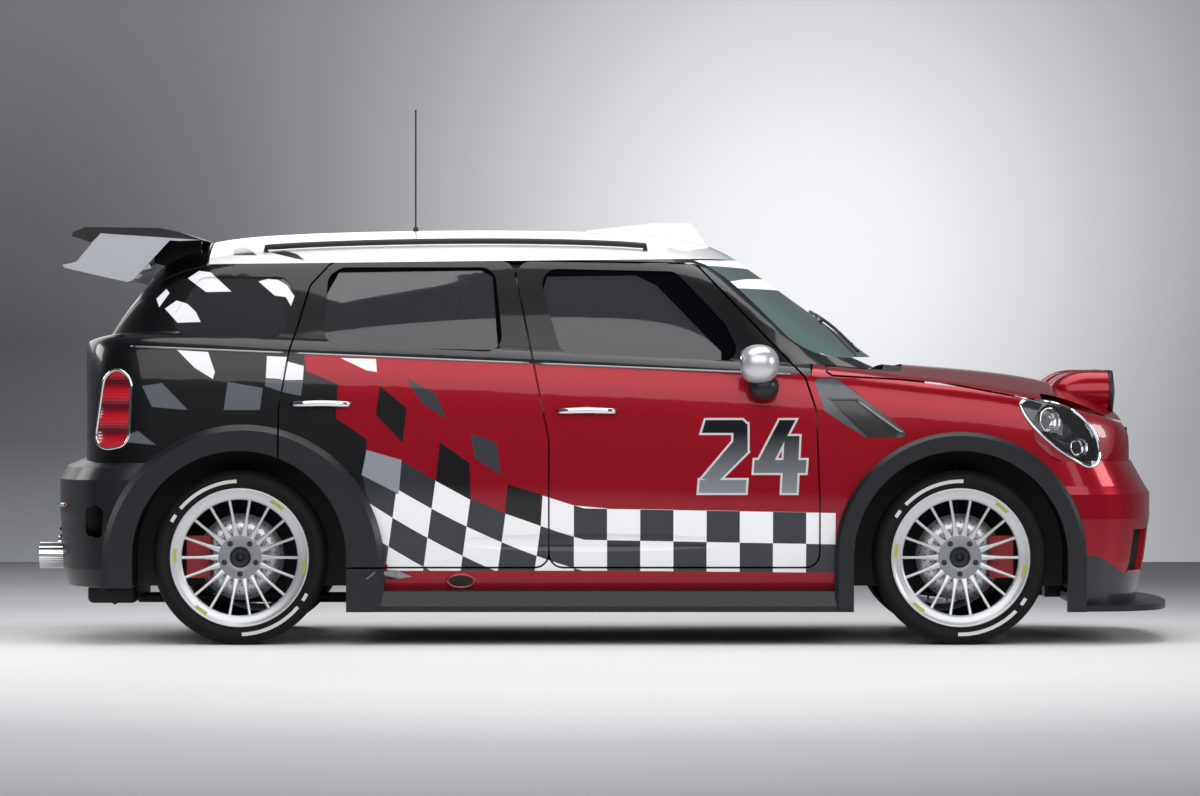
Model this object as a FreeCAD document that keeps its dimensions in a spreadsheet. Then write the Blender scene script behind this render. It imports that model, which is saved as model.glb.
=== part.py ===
# Rally car: a five-door hatchback built for stages, standing on tarmac wheels.
# Millimetres. +X forward, +Y to the car's left, +Z up; the origin is on the ground,
# midway between the foremost and rearmost points.
import FreeCAD, Part
import Sketcher
import math
import os

V = FreeCAD.Vector
doc = FreeCAD.newDocument("rally_car")
sheet = doc.addObject("Spreadsheet::Sheet", "sizes")

# Driving dimensions: name, value, what it is.
SIZES = [
    ("wheelbase", 2595, "front axle to rear axle"),
    ("roof_height", 1500, "ground to the roof skin, along the middle"),
    ("body_width", 1740, "across the door skins"),
    ("flare_width", 1820, "across the wheel arch flares"),
    ("rear_overhang", 752, "rear axle to the tail pipes' ends"),
    ("front_overhang", 792, "front axle to the splitter's lip"),
    ("tail_reach", 627, "rear axle to the tailgate skin"),
    ("nose_reach", 640, "front axle to the nose skin"),
    ("sill_height", 200, "ground to the body shell's floor"),
    ("ground_clearance", 119, "ground to the skirts and splitter"),
    ("door_thickness", 70, "whole door, skin to trim"),
    ("frame_thickness", 38, "window frames and pillars"),
    ("roof_thickness", 30, "roof skin to headlining"),
    ("bonnet_thickness", 26, "bonnet skin and its inner frame"),
    ("panel_thickness", 22, "wings and bumper covers"),
    ("glass_thickness", 5, "all panes"),
    ("glass_recess", 4, "pane's face below the skin around it"),
    ("shut_gap", 7, "between a moving panel and its neighbour"),
    ("seat_gap", 0.3, "clearance where one piece lies on another"),
    ("flange_gap", 6, "closed door to the rebate behind it"),
    ("flange_depth", 30, "rebate behind the doors"),
    ("flange_width", 38, "how far the rebate reaches behind a door"),
    ("tyre_diameter", 628, "over the tread"),
    ("tyre_width", 226, "sidewall to sidewall"),
    ("rim_diameter", 500, "over the rim's flanges"),
    ("track", 1554, "middle of the left tyre to middle of the right"),
    ("arch_clearance", 71, "tyre tread to the flare's inner edge"),
    ("liner_clearance", 86, "tyre tread to the wheel house"),
    ("front_flare_band", 68, "front flare seen from the side"),
    ("rear_flare_band", 124, "rear flare seen from the side"),
    ("kingpin_inset", 88, "tyre middle to the steering axis"),
    ("steer_angle", 30, "lock each way, degrees"),
    ("house_inner", 470, "car's middle to a wheel house's inner wall"),
    ("disc_diameter", 320, "brake discs"),
    ("disc_thickness", 30, "brake discs"),
    ("cut_overrun", 300, "how far cutting shapes run past what they cut"),
]


class Length:
    """A number together with the spreadsheet expression that gives it."""

    def __init__(self, value, text):
        self.value = float(value)
        self.text = text

    def _with(self, other, sign):
        other = other if isinstance(other, Length) else Length(other, repr(other))
        ours = {
            "+": self.value + other.value,
            "-": self.value - other.value,
            "*": self.value * other.value,
            "/": self.value / other.value if other.value else 0.0,
        }[sign]
        return Length(ours, f"({self.text} {sign} {other.text})")

    def __add__(self, other):
        return self._with(other, "+")

    def __sub__(self, other):
        return self._with(other, "-")

    def __mul__(self, other):
        return self._with(other, "*")

    def __truediv__(self, other):
        return self._with(other, "/")

    def __neg__(self):
        return Length(-self.value, f"(0 - {self.text})")


def fill_sheet():
    for row, (alias, value, words) in enumerate(SIZES, 1):
        sheet.set(f"A{row}", alias)
        sheet.set(f"B{row}", str(value))
        sheet.set(f"C{row}", words)
        sheet.setAlias(f"B{row}", alias)
    doc.recompute()


fill_sheet()
SIZE = {alias: Length(sheet.get(alias), f"sizes.{alias}") for alias, _, _ in SIZES}
S = {alias: length.value for alias, length in SIZE.items()}

# Places that most pieces share.
overall_length = S["wheelbase"] + S["front_overhang"] + S["rear_overhang"]
x_rear_axle = S["rear_overhang"] - overall_length / 2
x_front_axle = x_rear_axle + S["wheelbase"]
x_tail = x_rear_axle - S["tail_reach"]
x_nose = x_front_axle + S["nose_reach"]
half_body = S["body_width"] / 2
half_flare = S["flare_width"] / 2
tyre_radius = S["tyre_diameter"] / 2
rim_radius = S["rim_diameter"] / 2
half_track = S["track"] / 2
gap = S["shut_gap"]
seat = S["seat_gap"]
over = S["cut_overrun"]
LEFT, RIGHT = 1, -1

made = []


def length_at(share):
    """Place along the car: 0 at the rear axle, 1 at the front axle."""
    return x_rear_axle + share * S["wheelbase"]


def height_at(share):
    """Height: 0 at the ground, 1 at the roof skin."""
    return share * S["roof_height"]


def side_point(shares):
    return V(length_at(shares[0]), 0, height_at(shares[1]))


def keep(name, shape):
    """Stores a finished shape as one labelled object of the document."""
    piece = doc.addObject("Part::Feature", name)
    piece.Label = name
    piece.Shape = shape
    made.append(piece)
    return piece


def mirrored(shape):
    return shape.mirror(V(0, 0, 0), V(0, 1, 0))


def both_sides(shape):
    return Part.makeCompound([shape, mirrored(shape)])


def solids_only(shape, smallest_share=0.02):
    """The solids of a shape, without crumbs that a cut leaves."""
    solids = shape.Solids
    largest = max(s.Volume for s in solids)
    kept = [s for s in solids if s.Volume > smallest_share * largest]
    return kept[0] if len(kept) == 1 else Part.makeCompound(kept)


def rounded_wire(points, radius=0):
    """A closed wire through points in one plane, its corners rounded by arcs."""
    if not radius:
        return Part.makePolygon(points + [points[0]])
    count = len(points)
    radii = radius if isinstance(radius, (list, tuple)) else [radius] * count
    starts, ends, bends = [], [], []
    for i, corner in enumerate(points):
        back = (points[i - 1] - corner)
        ahead = (points[(i + 1) % count] - corner)
        room = 0.48 * min(back.Length, ahead.Length)
        back.normalize()
        ahead.normalize()
        half = back.getAngle(ahead) / 2
        reach = min(radii[i] / math.tan(half), room) if radii[i] else 0
        starts.append(corner + back * reach)
        ends.append(corner + ahead * reach)
        middle = back + ahead
        if reach and middle.Length > 1e-6:
            middle.normalize()
            bend = reach * math.tan(half)
            bends.append(corner + middle * (bend / math.sin(half) - bend))
        else:
            bends.append(None)
    edges = []
    for i in range(count):
        if bends[i] is not None:
            edges.append(Part.Arc(starts[i], bends[i], ends[i]).toShape())
        if (starts[(i + 1) % count] - ends[i]).Length > 1e-6:
            edges.append(Part.makeLine(ends[i], starts[(i + 1) % count]))
    return Part.Wire(edges)


def side_prism(shares, radius=0, grow=0, y_from=0, y_to=None):
    """A side-view outline, in shares, run across the car's left half."""
    y_to = half_flare + over if y_to is None else y_to
    points = [side_point(p) for p in shares]
    face = Part.Face(rounded_wire(points, radius))
    if grow:
        face = Part.Face(face.makeOffset2D(grow).OuterWire)
    face.translate(V(0, y_from, 0))
    return face.extrude(V(0, y_to - y_from, 0))


def axle_cylinder(x, radius, y_from, y_to):
    return Part.makeCylinder(radius, y_to - y_from, V(x, y_from, tyre_radius), V(0, 1, 0))


def spline_surface(rows):
    """A smooth surface drawn to a cage of poles, one row for each station."""
    count_u, count_v = len(rows), len(rows[0])

    def knots(count):
        inner = count - 4
        return [i / (inner + 1) for i in range(inner + 2)], [4] + [1] * inner + [4]

    knots_u, mults_u = knots(count_u)
    knots_v, mults_v = knots(count_v)
    surface = Part.BSplineSurface()
    surface.buildFromPolesMultsKnots(
        rows, mults_u, mults_v, knots_u, knots_v, False, False, 3, 3
    )
    return surface


def solid_under(rows):
    """The solid closed by the surface over a cage, a flat floor and two flat ends."""
    skin = spline_surface(rows).toShape()
    first, last = rows[0], rows[-1]

    def edge_near(point):
        return min(skin.Edges, key=lambda e: e.distToShape(Part.Vertex(point))[0])

    def middle(curve_rows):
        surface = Part.BSplineCurve()
        knots = [i / (len(curve_rows) - 3) for i in range(len(curve_rows) - 2)]
        mults = [4] + [1] * (len(curve_rows) - 4) + [4]
        surface.buildFromPolesMultsKnots(curve_rows, mults, knots, False, 3)
        return surface.value(0.5)

    rear_end = edge_near(middle(first))
    front_end = edge_near(middle(last))
    right_foot = edge_near(middle([row[0] for row in rows]))
    left_foot = edge_near(middle([row[-1] for row in rows]))
    rear_line = Part.makeLine(first[0], first[-1])
    front_line = Part.makeLine(last[0], last[-1])
    floor = Part.Face(Part.Wire(Part.sortEdges([right_foot, front_line, left_foot, rear_line])[0]))
    rear_cap = Part.Face(Part.Wire(Part.sortEdges([rear_end, rear_line])[0]))
    front_cap = Part.Face(Part.Wire(Part.sortEdges([front_end, front_line])[0]))
    shell = Part.makeShell([skin, floor, rear_cap, front_cap])
    shell.sewShape()
    solid = Part.makeSolid(shell)
    if solid.Volume < 0:
        solid.reverse()
    return solid


# Lower body, sill to bonnet. For each station: place along the car, half width as a share of
# the body's, top, drop from the middle of the top to its edge, roundness of that edge, and how
# far the station moves inwards with the thickness, along the car. Heights are shares of the
# roof height.
LOWER_SHARES = [
    (-0.2225, 0.56, 0.724, 0.006, 0.050, 1.0),
    (-0.2190, 0.72, 0.732, 0.007, 0.065, 1.0),
    (-0.2090, 0.85, 0.740, 0.009, 0.080, 0.85),
    (-0.1880, 0.935, 0.752, 0.012, 0.095, 0.6),
    (-0.1450, 0.985, 0.764, 0.014, 0.105, 0.2),
    (-0.0700, 1.0, 0.768, 0.016, 0.110, 0.0),
    (0.1200, 1.0, 0.758, 0.018, 0.110, 0.0),
    (0.4000, 1.0, 0.735, 0.020, 0.110, 0.0),
    (0.6800, 1.0, 0.710, 0.022, 0.105, 0.0),
    (0.8200, 1.0, 0.690, 0.026, 0.100, 0.0),
    (0.9200, 1.0, 0.674, 0.032, 0.095, 0.0),
    (1.0200, 0.995, 0.662, 0.040, 0.090, 0.0),
    (1.1000, 0.985, 0.646, 0.048, 0.085, -0.1),
    (1.1600, 0.955, 0.622, 0.050, 0.080, -0.3),
    (1.2050, 0.890, 0.592, 0.046, 0.070, -0.6),
    (1.2350, 0.780, 0.560, 0.040, 0.060, -0.9),
    (1.2466, 0.600, 0.528, 0.030, 0.050, -1.0),
    (1.2466, 0.400, 0.500, 0.020, 0.040, -1.0),
]
LOWER_SIDE_SHARES = [(0.0, 0.950), (0.12, 0.972), (0.34, 1.006), (0.62, 1.010), (0.84, 1.0)]

# Cabin, belt to roof, in the same way. Half widths are at the foot and at the roof's edge.
UPPER_SHARES = [
    (-0.205, 0.74, 0.700, 0.690, 0.010, 0.020, 0.9),
    (-0.196, 0.80, 0.715, 0.722, 0.014, 0.030, 0.84),
    (-0.178, 0.86, 0.722, 0.785, 0.026, 0.045, 0.84),
    (-0.150, 0.91, 0.718, 0.862, 0.044, 0.055, 0.8),
    (-0.122, 0.94, 0.708, 0.928, 0.056, 0.060, 0.6),
    (-0.085, 0.955, 0.700, 0.962, 0.060, 0.060, 0.2),
    (-0.020, 0.965, 0.706, 0.988, 0.060, 0.060, 0.0),
    (0.120, 0.968, 0.716, 1.000, 0.060, 0.060, 0.0),
    (0.320, 0.968, 0.724, 1.006, 0.060, 0.060, 0.0),
    (0.500, 0.967, 0.728, 1.001, 0.060, 0.060, 0.0),
    (0.600, 0.966, 0.732, 0.990, 0.062, 0.060, 0.0),
    (0.660, 0.964, 0.738, 0.968, 0.072, 0.060, -0.2),
    (0.705, 0.960, 0.748, 0.922, 0.088, 0.056, -0.5),
    (0.755, 0.956, 0.764, 0.860, 0.100, 0.050, -0.58),
    (0.805, 0.952, 0.784, 0.798, 0.112, 0.044, -0.58),
    (0.855, 0.948, 0.806, 0.735, 0.118, 0.036, -0.58),
    (0.905, 0.940, 0.828, 0.672, 0.090, 0.026, -0.58),
    (0.935, 0.920, 0.830, 0.636, 0.030, 0.012, -0.58),
]
upper_foot_share = 0.60
upper_bulge_share = 0.012


def lower_row(shares, inset):
    place, width, top, drop, round_share, lean = shares
    x = length_at(place) + lean * inset
    half = width * half_body - inset
    roof = height_at(top) - inset
    foot = S["sill_height"] + inset
    edge = roof - height_at(drop)
    rounding = height_at(round_share)
    start = edge - rounding
    left = []
    for rise, breadth in LOWER_SIDE_SHARES:
        left.append(V(x, breadth * half, foot + rise * (start - foot)))
    left.append(V(x, half - 0.02 * rounding, start + 0.15 * rounding))
    left.append(V(x, half - 0.16 * rounding, edge - 0.22 * rounding))
    left.append(V(x, half - 0.55 * rounding, edge + 0.06 * rounding))
    left.append(V(x, half - 1.2 * rounding, edge + 0.22 * (roof - edge)))
    left.append(V(x, 0.5 * half, roof - 0.22 * (roof - edge)))
    left.append(V(x, 0.2 * half, roof))
    right = [V(p.x, -p.y, p.z) for p in left]
    return right + left[::-1]


def upper_row(shares, inset):
    place, foot_width, roof_width, top, drop, round_share, lean = shares
    down = math.sqrt(1 - lean * lean)
    x = length_at(place) + lean * inset
    foot = V(x, foot_width * half_body - inset, height_at(upper_foot_share))
    roof = height_at(top) - down * inset
    corner = V(x, roof_width * half_body - inset, roof - height_at(drop))
    corner.z = max(corner.z, foot.z + 0.3 * (roof - foot.z))
    rounding = height_at(round_share)
    side = corner - foot
    bulge = upper_bulge_share * half_body
    tip = min(rounding / side.Length, 0.3)
    left = [
        foot,
        foot + side * 0.33 + V(0, bulge, 0),
        foot + side * 0.66 + V(0, bulge, 0),
        corner - side * tip,
        corner - side * (0.25 * tip) + V(0, -0.04 * rounding, 0),
        V(x, corner.y - 0.6 * rounding, corner.z + 0.22 * rounding),
        V(x, corner.y - 1.5 * rounding, corner.z + 0.45 * (roof - corner.z)),
        V(x, 0.45 * corner.y, roof - 0.14 * (roof - corner.z)),
        V(x, 0.18 * corner.y, roof),
    ]
    right = [V(p.x, -p.y, p.z) for p in left]
    return right + left[::-1]


lower_cache, upper_cache = {}, {}


def lower_body(inset=0.0):
    if inset not in lower_cache:
        lower_cache[inset] = solid_under([lower_row(r, inset) for r in LOWER_SHARES])
    return lower_cache[inset]


def upper_body(inset=0.0):
    if inset not in upper_cache:
        upper_cache[inset] = solid_under([upper_row(r, inset) for r in UPPER_SHARES])
    return upper_cache[inset]


# Regions and helpers for the panels.
def block(x_from, x_to, y_from, y_to, z_from, z_to):
    corner = V(min(x_from, x_to), min(y_from, y_to), min(z_from, z_to))
    return Part.makeBox(abs(x_to - x_from), abs(y_to - y_from), abs(z_to - z_from), corner)


def whole_body(inset_low, inset_up):
    return lower_body(inset_low).fuse(upper_body(inset_up))


def rounded_block(x_from, x_to, y_from, y_to, z_from, z_to, radius):
    shape = block(x_from, x_to, y_from, y_to, z_from, z_to)
    return shape.makeFillet(radius, shape.Edges)


def tube_along(points, radius):
    """A round bar along straight runs, with a ball at each corner."""
    shape = None
    for start, end in zip(points, points[1:]):
        run = end - start
        bar = Part.makeCylinder(radius, run.Length, start, run)
        shape = bar if shape is None else shape.fuse(bar)
    for corner in points[1:-1]:
        shape = shape.fuse(Part.makeSphere(radius, corner))
    return shape


def fused(shapes):
    return shapes[0].multiFuse(shapes[1:]) if len(shapes) > 1 else shapes[0]


# Side-view outlines of the panels, in shares of the wheelbase and of the roof height.
FRONT_DOOR_SHARES = [
    (0.429, 0.185), (0.429, 0.492), (0.407, 0.682), (0.378, 0.925),
    (0.634, 0.917), (0.785, 0.642), (0.800, 0.564), (0.805, 0.348), (0.805, 0.185),
]
REAR_DOOR_SHARES = [
    (0.429, 0.185), (0.429, 0.492), (0.407, 0.682), (0.378, 0.925),
    (0.125, 0.921), (0.095, 0.864), (0.068, 0.703), (0.054, 0.564), (0.054, 0.185),
]
FRONT_WINDOW_SHARES = [(0.445, 0.700), (0.412, 0.905), (0.605, 0.898), (0.675, 0.770), (0.700, 0.680)]
REAR_WINDOW_SHARES = [(0.113, 0.722), (0.120, 0.888), (0.140, 0.908), (0.353, 0.908), (0.366, 0.702)]
QUARTER_WINDOW_SHARES = [(-0.112, 0.745), (-0.060, 0.885), (0.074, 0.885), (0.060, 0.735)]
FENDER_SHARES = [
    (0.8075, 0.10), (0.8075, 0.560), (0.7925, 0.640), (0.8000, 0.700), (0.9150, 0.700),
    (1.300, 0.700), (1.300, 0.440), (1.130, 0.440), (1.130, 0.10),
]
BONNET_SHARES = [
    (0.815, 0.800), (0.815, 0.655), (0.823, 0.646), (0.915, 0.637), (0.999, 0.622), (1.082, 0.595),
    (1.137, 0.578), (1.193, 0.554), (1.227, 0.535), (1.300, 0.520), (1.300, 0.800),
]
ROOF_SHARES = [(-0.150, 0.914), (0.640, 0.929), (0.900, 0.9339), (0.900, 1.100), (-0.150, 1.100)]
TAIL_LAMP_SHARES = [(-0.205, 0.462), (-0.154, 0.478), (-0.150, 0.640), (-0.172, 0.668), (-0.190, 0.640)]
SCALLOP_CENTRE_SHARES = (0.482, 0.240)
SCUTTLE_SHARES = [(0.795, 0.641), (0.829, 0.641), (0.936, 0.497), (0.868, 0.497), (0.812, 0.560)]
corner_share = 0.020
flare_lip_share = 0.960
window_corner_share = 0.022
glass_grow = -seat
deep_low = S["door_thickness"] + S["flange_gap"] + S["flange_depth"]
deep_up = S["frame_thickness"] + S["flange_gap"] + S["flange_depth"]
arch_radius = tyre_radius + S["liner_clearance"]
flare_inner = tyre_radius + S["arch_clearance"]
corner = corner_share * S["wheelbase"]
window_corner = window_corner_share * S["wheelbase"]

skin = whole_body(0, 0)
door_inside = whole_body(S["door_thickness"], S["frame_thickness"])
rebate_floor = whole_body(
    S["door_thickness"] + S["flange_gap"], S["frame_thickness"] + S["flange_gap"]
)
deep_inside = whole_body(deep_low, deep_up)

# Where the cabin's panels meet across the car.
pillar_inner_share = 0.672
tail_half = pillar_inner_share * half_body
frame_inner = tail_half + gap
floor_top = S["sill_height"] + S["panel_thickness"]


def door_region(shares, grow):
    return side_prism(shares, corner, grow, S["house_inner"])


def arch_room(x, radius, y_from, y_to):
    """The room over a wheel: half round above the axle, straight down below it."""
    room = axle_cylinder(x, radius, y_from, y_to)
    return room.fuse(block(x - radius, x + radius, y_from, y_to, -over, tyre_radius))


def rear_arch(extra=0.0):
    return arch_room(x_rear_axle, arch_radius + extra, S["house_inner"], half_flare + over)


def front_arch(extra=0.0):
    return arch_room(x_front_axle, arch_radius + extra, S["house_inner"], half_flare + over)


def window_prism(shares, grow):
    return side_prism(shares, window_corner, grow, S["house_inner"])


def pane(region):
    """Glass that follows the cabin's skin, a little below it."""
    outer = upper_body(S["glass_recess"])
    inner = upper_body(S["glass_recess"] + S["glass_thickness"])
    return solids_only(outer.common(region).cut(inner))


def make_flare(x, band, share_of_width, lift, centre_shift=V(0, 0, 0)):
    """An arch flare: half a ring over the wheel with legs that run down to the skirts."""
    outer = flare_inner + band
    y_in = half_body - S["flare_width"] * share_of_width
    lip_inner = half_body * flare_lip_share
    ring = axle_cylinder(x, outer, y_in, half_flare)
    ring.translate(centre_shift)
    legs = block(x - outer + centre_shift.x, x + outer + centre_shift.x, y_in, half_flare,
                 S["ground_clearance"], tyre_radius + centre_shift.z)
    shape = ring.fuse(legs).removeSplitter()
    rim = [e for e in shape.Edges if abs(e.BoundBox.YMin - half_flare) < 1 and abs(e.BoundBox.YMax - half_flare) < 1]
    shape = shape.makeChamfer(lift, rim)
    hole = axle_cylinder(x, flare_inner, y_in - over, half_flare + over)
    hole = hole.fuse(block(x - flare_inner, x + flare_inner, y_in - over, half_flare + over, -over, tyre_radius))
    shape = shape.cut(hole)
    shape = shape.cut(arch_room(x, arch_radius, y_in - over, lip_inner))
    return shape.cut(block(x - over * 4, x + over * 4, y_in - over, half_flare + over, -over, S["ground_clearance"]))


def laid_on_skin(flare, x, depth):
    """A flare trimmed to the skin it lies on; only its inner lip wraps into the arch."""
    under = lower_body(depth).cut(arch_room(x, arch_radius - seat, 0, half_flare + over))
    return solids_only(flare.cut(under))


# More outlines and the sizes of the smaller pieces, each tied to the piece that carries it.
FRAME_SHARES = [
    (-0.300, 0.10), (0.8075, 0.10), (0.8075, 0.560), (0.7925, 0.640), (0.7925, 0.9316), (-0.300, 0.9108),
]
PILLAR_FOOT_SHARES = [(0.7900, 0.560), (0.960, 0.560), (0.960, 0.9351), (0.600, 0.9282), (0.7900, 0.700)]
HINGE_LEVEL_SHARES = (0.27, 0.58)
hinge_leaf_inset = S["flange_width"] * 0.2
hinge_leaf_length = S["flange_width"] * 0.7
hinge_leaf_height = S["flange_width"] * 1.6
windscreen_half_foot = half_body * 0.800
windscreen_half_top = half_body * 0.655
windscreen_foot = height_at(0.690)
windscreen_top = height_at(0.926)
windscreen_from_share = 0.600
rear_window_half_foot = half_body * 0.600
rear_window_half_top = half_body * 0.575
headlamp_half_width = half_body * 0.165
headlamp_half_height = half_body * 0.145
headlamp_turn = 38
tailgate_hinge_share = -0.050
tailgate_foot = height_at(0.440)
tailgate_hinge_x = length_at(tailgate_hinge_share)
bonnet_cowl_width = S["wheelbase"] * 0.022

tail_pipe_radius = half_body * 0.055
tail_pipe_y = half_body * 0.50
tail_pipe_z = tyre_radius - gap / 2

# Bumpers, as plan sections: height and half width, as shares, and how far they reach.
FRONT_BUMPER_SHARES = [
    (0.100, 0.860), (0.200, 0.900), (0.300, 0.925), (0.360, 0.925), (0.380, 0.900), (0.440, 0.835),
]
FRONT_BUMPER_WIDTH_SHARES = (0.955, 0.975, 0.985, 0.985, 0.980, 0.975)
REAR_BUMPER_SHARES = [
    (0.137, 0.880), (0.180, 0.912), (0.290, 0.920), (0.315, 0.925), (0.395, 0.925), (0.425, 0.890), (0.440, 0.820),
]
REAR_BUMPER_WIDTH_SHARES = (0.985, 1.012, 1.022, 1.022, 1.018, 1.008, 0.985)
BUMPER_VENT_SHARES = [(-0.2150, 0.262), (-0.1920, 0.254), (-0.1890, 0.322), (-0.2000, 0.336), (-0.2150, 0.326)]


# Body shell pieces.
def side_frame():
    """One side of the shell: sill, pillars, rear quarter and the rebates that the doors close on."""
    main = side_prism(FRAME_SHARES, 0, 0, frame_inner)
    foot = side_prism(PILLAR_FOOT_SHARES, 0, 0, windscreen_half_top)
    shape = skin.common(main).cut(deep_inside)
    pillar = upper_body(0).common(foot).cut(upper_body(deep_up)).cut(lower_body(-seat))
    shape = shape.fuse(pillar)
    for shares in (FRONT_DOOR_SHARES, REAR_DOOR_SHARES):
        shape = shape.cut(door_region(shares, gap / 2).cut(rebate_floor))
    rear_way = door_region(REAR_DOOR_SHARES, -S["flange_width"])
    rear_way = rear_way.cut(rear_arch(S["flange_width"]))
    shape = shape.cut(door_region(FRONT_DOOR_SHARES, -S["flange_width"])).cut(rear_way)
    shape = shape.cut(window_prism(QUARTER_WINDOW_SHARES, 0)).cut(windscreen_prism(0))
    shape = shape.cut(rear_arch()).cut(rear_bumper_mass).cut(tail_lamp_prism(0))
    leaves = []
    for shares, levels in ((FRONT_DOOR_SHARES, HINGE_LEVEL_SHARES), (REAR_DOOR_SHARES, HINGE_LEVEL_SHARES)):
        edge = length_at(max(p[0] for p in shares)) - hinge_leaf_inset
        for level in levels:
            middle = height_at(level)
            pad = block(edge - hinge_leaf_length, edge, S["house_inner"], half_flare,
                        middle - hinge_leaf_height / 2, middle + hinge_leaf_height / 2)
            pad = pad.common(lower_body(S["door_thickness"] + seat)).cut(lower_body(deep_low))
            leaves.append(pad)
    shape = shape.multiFuse(leaves)
    return solids_only(shape)


def windscreen_prism(grow):
    points = []
    for side, width, height in ((1, windscreen_half_foot, windscreen_foot), (1, windscreen_half_top, windscreen_top),
                                (-1, windscreen_half_top, windscreen_top), (-1, windscreen_half_foot, windscreen_foot)):
        points.append(V(length_at(windscreen_from_share), side * width, height))
    face = Part.Face(rounded_wire(points, window_corner))
    if grow:
        face = Part.Face(face.makeOffset2D(grow).OuterWire)
    return face.extrude(V(S["wheelbase"] / 2, 0, 0))


def rear_window_prism(grow):
    top, foot = height_at(0.885), height_at(0.720)
    points = [V(length_at(0), y, z) for y, z in (
        (rear_window_half_foot, foot), (rear_window_half_top, top),
        (-rear_window_half_top, top), (-rear_window_half_foot, foot))]
    face = Part.Face(rounded_wire(points, window_corner))
    if grow:
        face = Part.Face(face.makeOffset2D(grow).OuterWire)
    return face.extrude(V(-S["wheelbase"] / 2, 0, 0))


def tail_lamp_prism(grow):
    return side_prism(TAIL_LAMP_SHARES, corner, grow, frame_inner)


def headlamp_barrel(grow):
    """An oval barrel along the headlamp's own axis, which looks ahead and outwards."""
    oval = Part.Ellipse(V(0, 0, 0), headlamp_half_width + grow, headlamp_half_height + grow).toShape()
    barrel = Part.Face(Part.Wire([oval])).extrude(V(0, 0, S["wheelbase"] / 4))
    barrel.translate(V(0, 0, -S["wheelbase"] / 16))
    barrel.rotate(V(0, 0, 0), V(0, 0, 1), 90)
    barrel.rotate(V(0, 0, 0), V(0, 1, 0), 90)
    barrel.rotate(V(0, 0, 0), V(0, 0, 1), headlamp_turn)
    barrel.translate(V(length_at(1.128), half_body * 0.83, height_at(0.513)))
    return barrel


def plan_section(height, reach, back, width, sign, middle):
    """A closed plan-view wire: a bowed face across the car and straight sides to the back."""
    tip = middle + sign * reach
    bow = sign * reach
    points = [(0.0, 1.0), (0.30, 0.992), (0.58, 0.962), (0.80, 0.895), (0.93, 0.780), (0.985, 0.640), (1.0, 0.45)]
    left = [V(middle + bow * p[1], width * p[0], height) for p in points]
    curve = Part.BSplineCurve()
    path = [V(p.x, -p.y, p.z) for p in left[:0:-1]] + left
    curve.interpolate(path)
    end = left[-1]
    rear = V(middle + sign * back, end.y, height)
    edges = [
        curve.toShape(),
        Part.makeLine(end, rear),
        Part.makeLine(rear, V(rear.x, -rear.y, height)),
        Part.makeLine(V(rear.x, -rear.y, height), path[0]),
    ]
    return Part.Wire(edges)


def bumper_mass(axle_x, sign, sections, back, inset=0.0):
    """The bumper's whole form, from plan sections at rising heights."""
    wires = []
    for index, (height, reach, width) in enumerate(sections):
        lift = height_at(height)
        if inset and index == 0:
            lift -= inset
        wires.append(plan_section(lift, reach - inset, back, width - inset, sign, axle_x))
    return Part.makeLoft(wires, True, True)


def front_sections():
    reach = S["front_overhang"]
    return [(h, r * reach, w * half_body) for (h, r), w in zip(FRONT_BUMPER_SHARES, FRONT_BUMPER_WIDTH_SHARES)]


def rear_sections():
    reach = S["rear_overhang"]
    return [(h, r * reach, w * half_body) for (h, r), w in zip(REAR_BUMPER_SHARES, REAR_BUMPER_WIDTH_SHARES)]


def flare_outer_cylinder(x, band, shift, grow):
    cylinder = axle_cylinder(x, flare_inner + band + grow, -half_flare - over, half_flare + over)
    cylinder.translate(shift)
    foot = block(x + shift.x - flare_inner - band - grow, x + shift.x + flare_inner + band + grow,
                 -half_flare - over, half_flare + over, -over, tyre_radius + shift.z)
    return cylinder.fuse(foot)


rear_flare_shift = V(S["rear_flare_band"] * 0.10, 0, -S["rear_flare_band"] * 0.24)
front_wheel_zone = flare_outer_cylinder(x_front_axle, S["front_flare_band"], V(0, 0, 0), seat)
rear_wheel_zone = flare_outer_cylinder(x_rear_axle, S["rear_flare_band"], rear_flare_shift, seat)
front_bumper_mass = bumper_mass(x_front_axle, 1, front_sections(), 0.12 * S["front_overhang"])
front_bumper_mass = front_bumper_mass.cut(front_wheel_zone)
rear_bumper_mass = bumper_mass(x_rear_axle, -1, rear_sections(), 0.12 * S["rear_overhang"])
rear_bumper_mass = rear_bumper_mass.cut(rear_wheel_zone)


def door_scallop():
    """A long spindle that presses a lens-shaped hollow into the foot of both doors."""
    reach, radius = S["wheelbase"] * 0.485, half_body * 0.070
    middle = side_point(SCALLOP_CENTRE_SHARES) + V(0, half_body * 0.990 + radius * 0.80, 0)
    ends = [middle - V(reach, 0, 0), middle + V(reach, 0, 0)]
    bow = Part.Arc(ends[0], middle + V(0, radius, 0), ends[1]).toShape()
    return Part.Face(Part.Wire([bow, Part.makeLine(ends[1], ends[0])])).revolve(middle, V(1, 0, 0), 360)


def door(shares, window_shares):
    shape = skin.common(door_region(shares, -gap / 2)).cut(door_inside).cut(door_scallop())
    return shape.cut(window_prism(window_shares, 0))


def front_door():
    return solids_only(door(FRONT_DOOR_SHARES, FRONT_WINDOW_SHARES))


def rear_door():
    shape = door(REAR_DOOR_SHARES, REAR_WINDOW_SHARES).cut(rear_arch(gap / 2))
    flare = laid_on_skin(rear_flare_whole, x_rear_axle, gap).common(door_region(REAR_DOOR_SHARES, -gap / 2))
    return solids_only(shape.fuse(flare))


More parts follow.
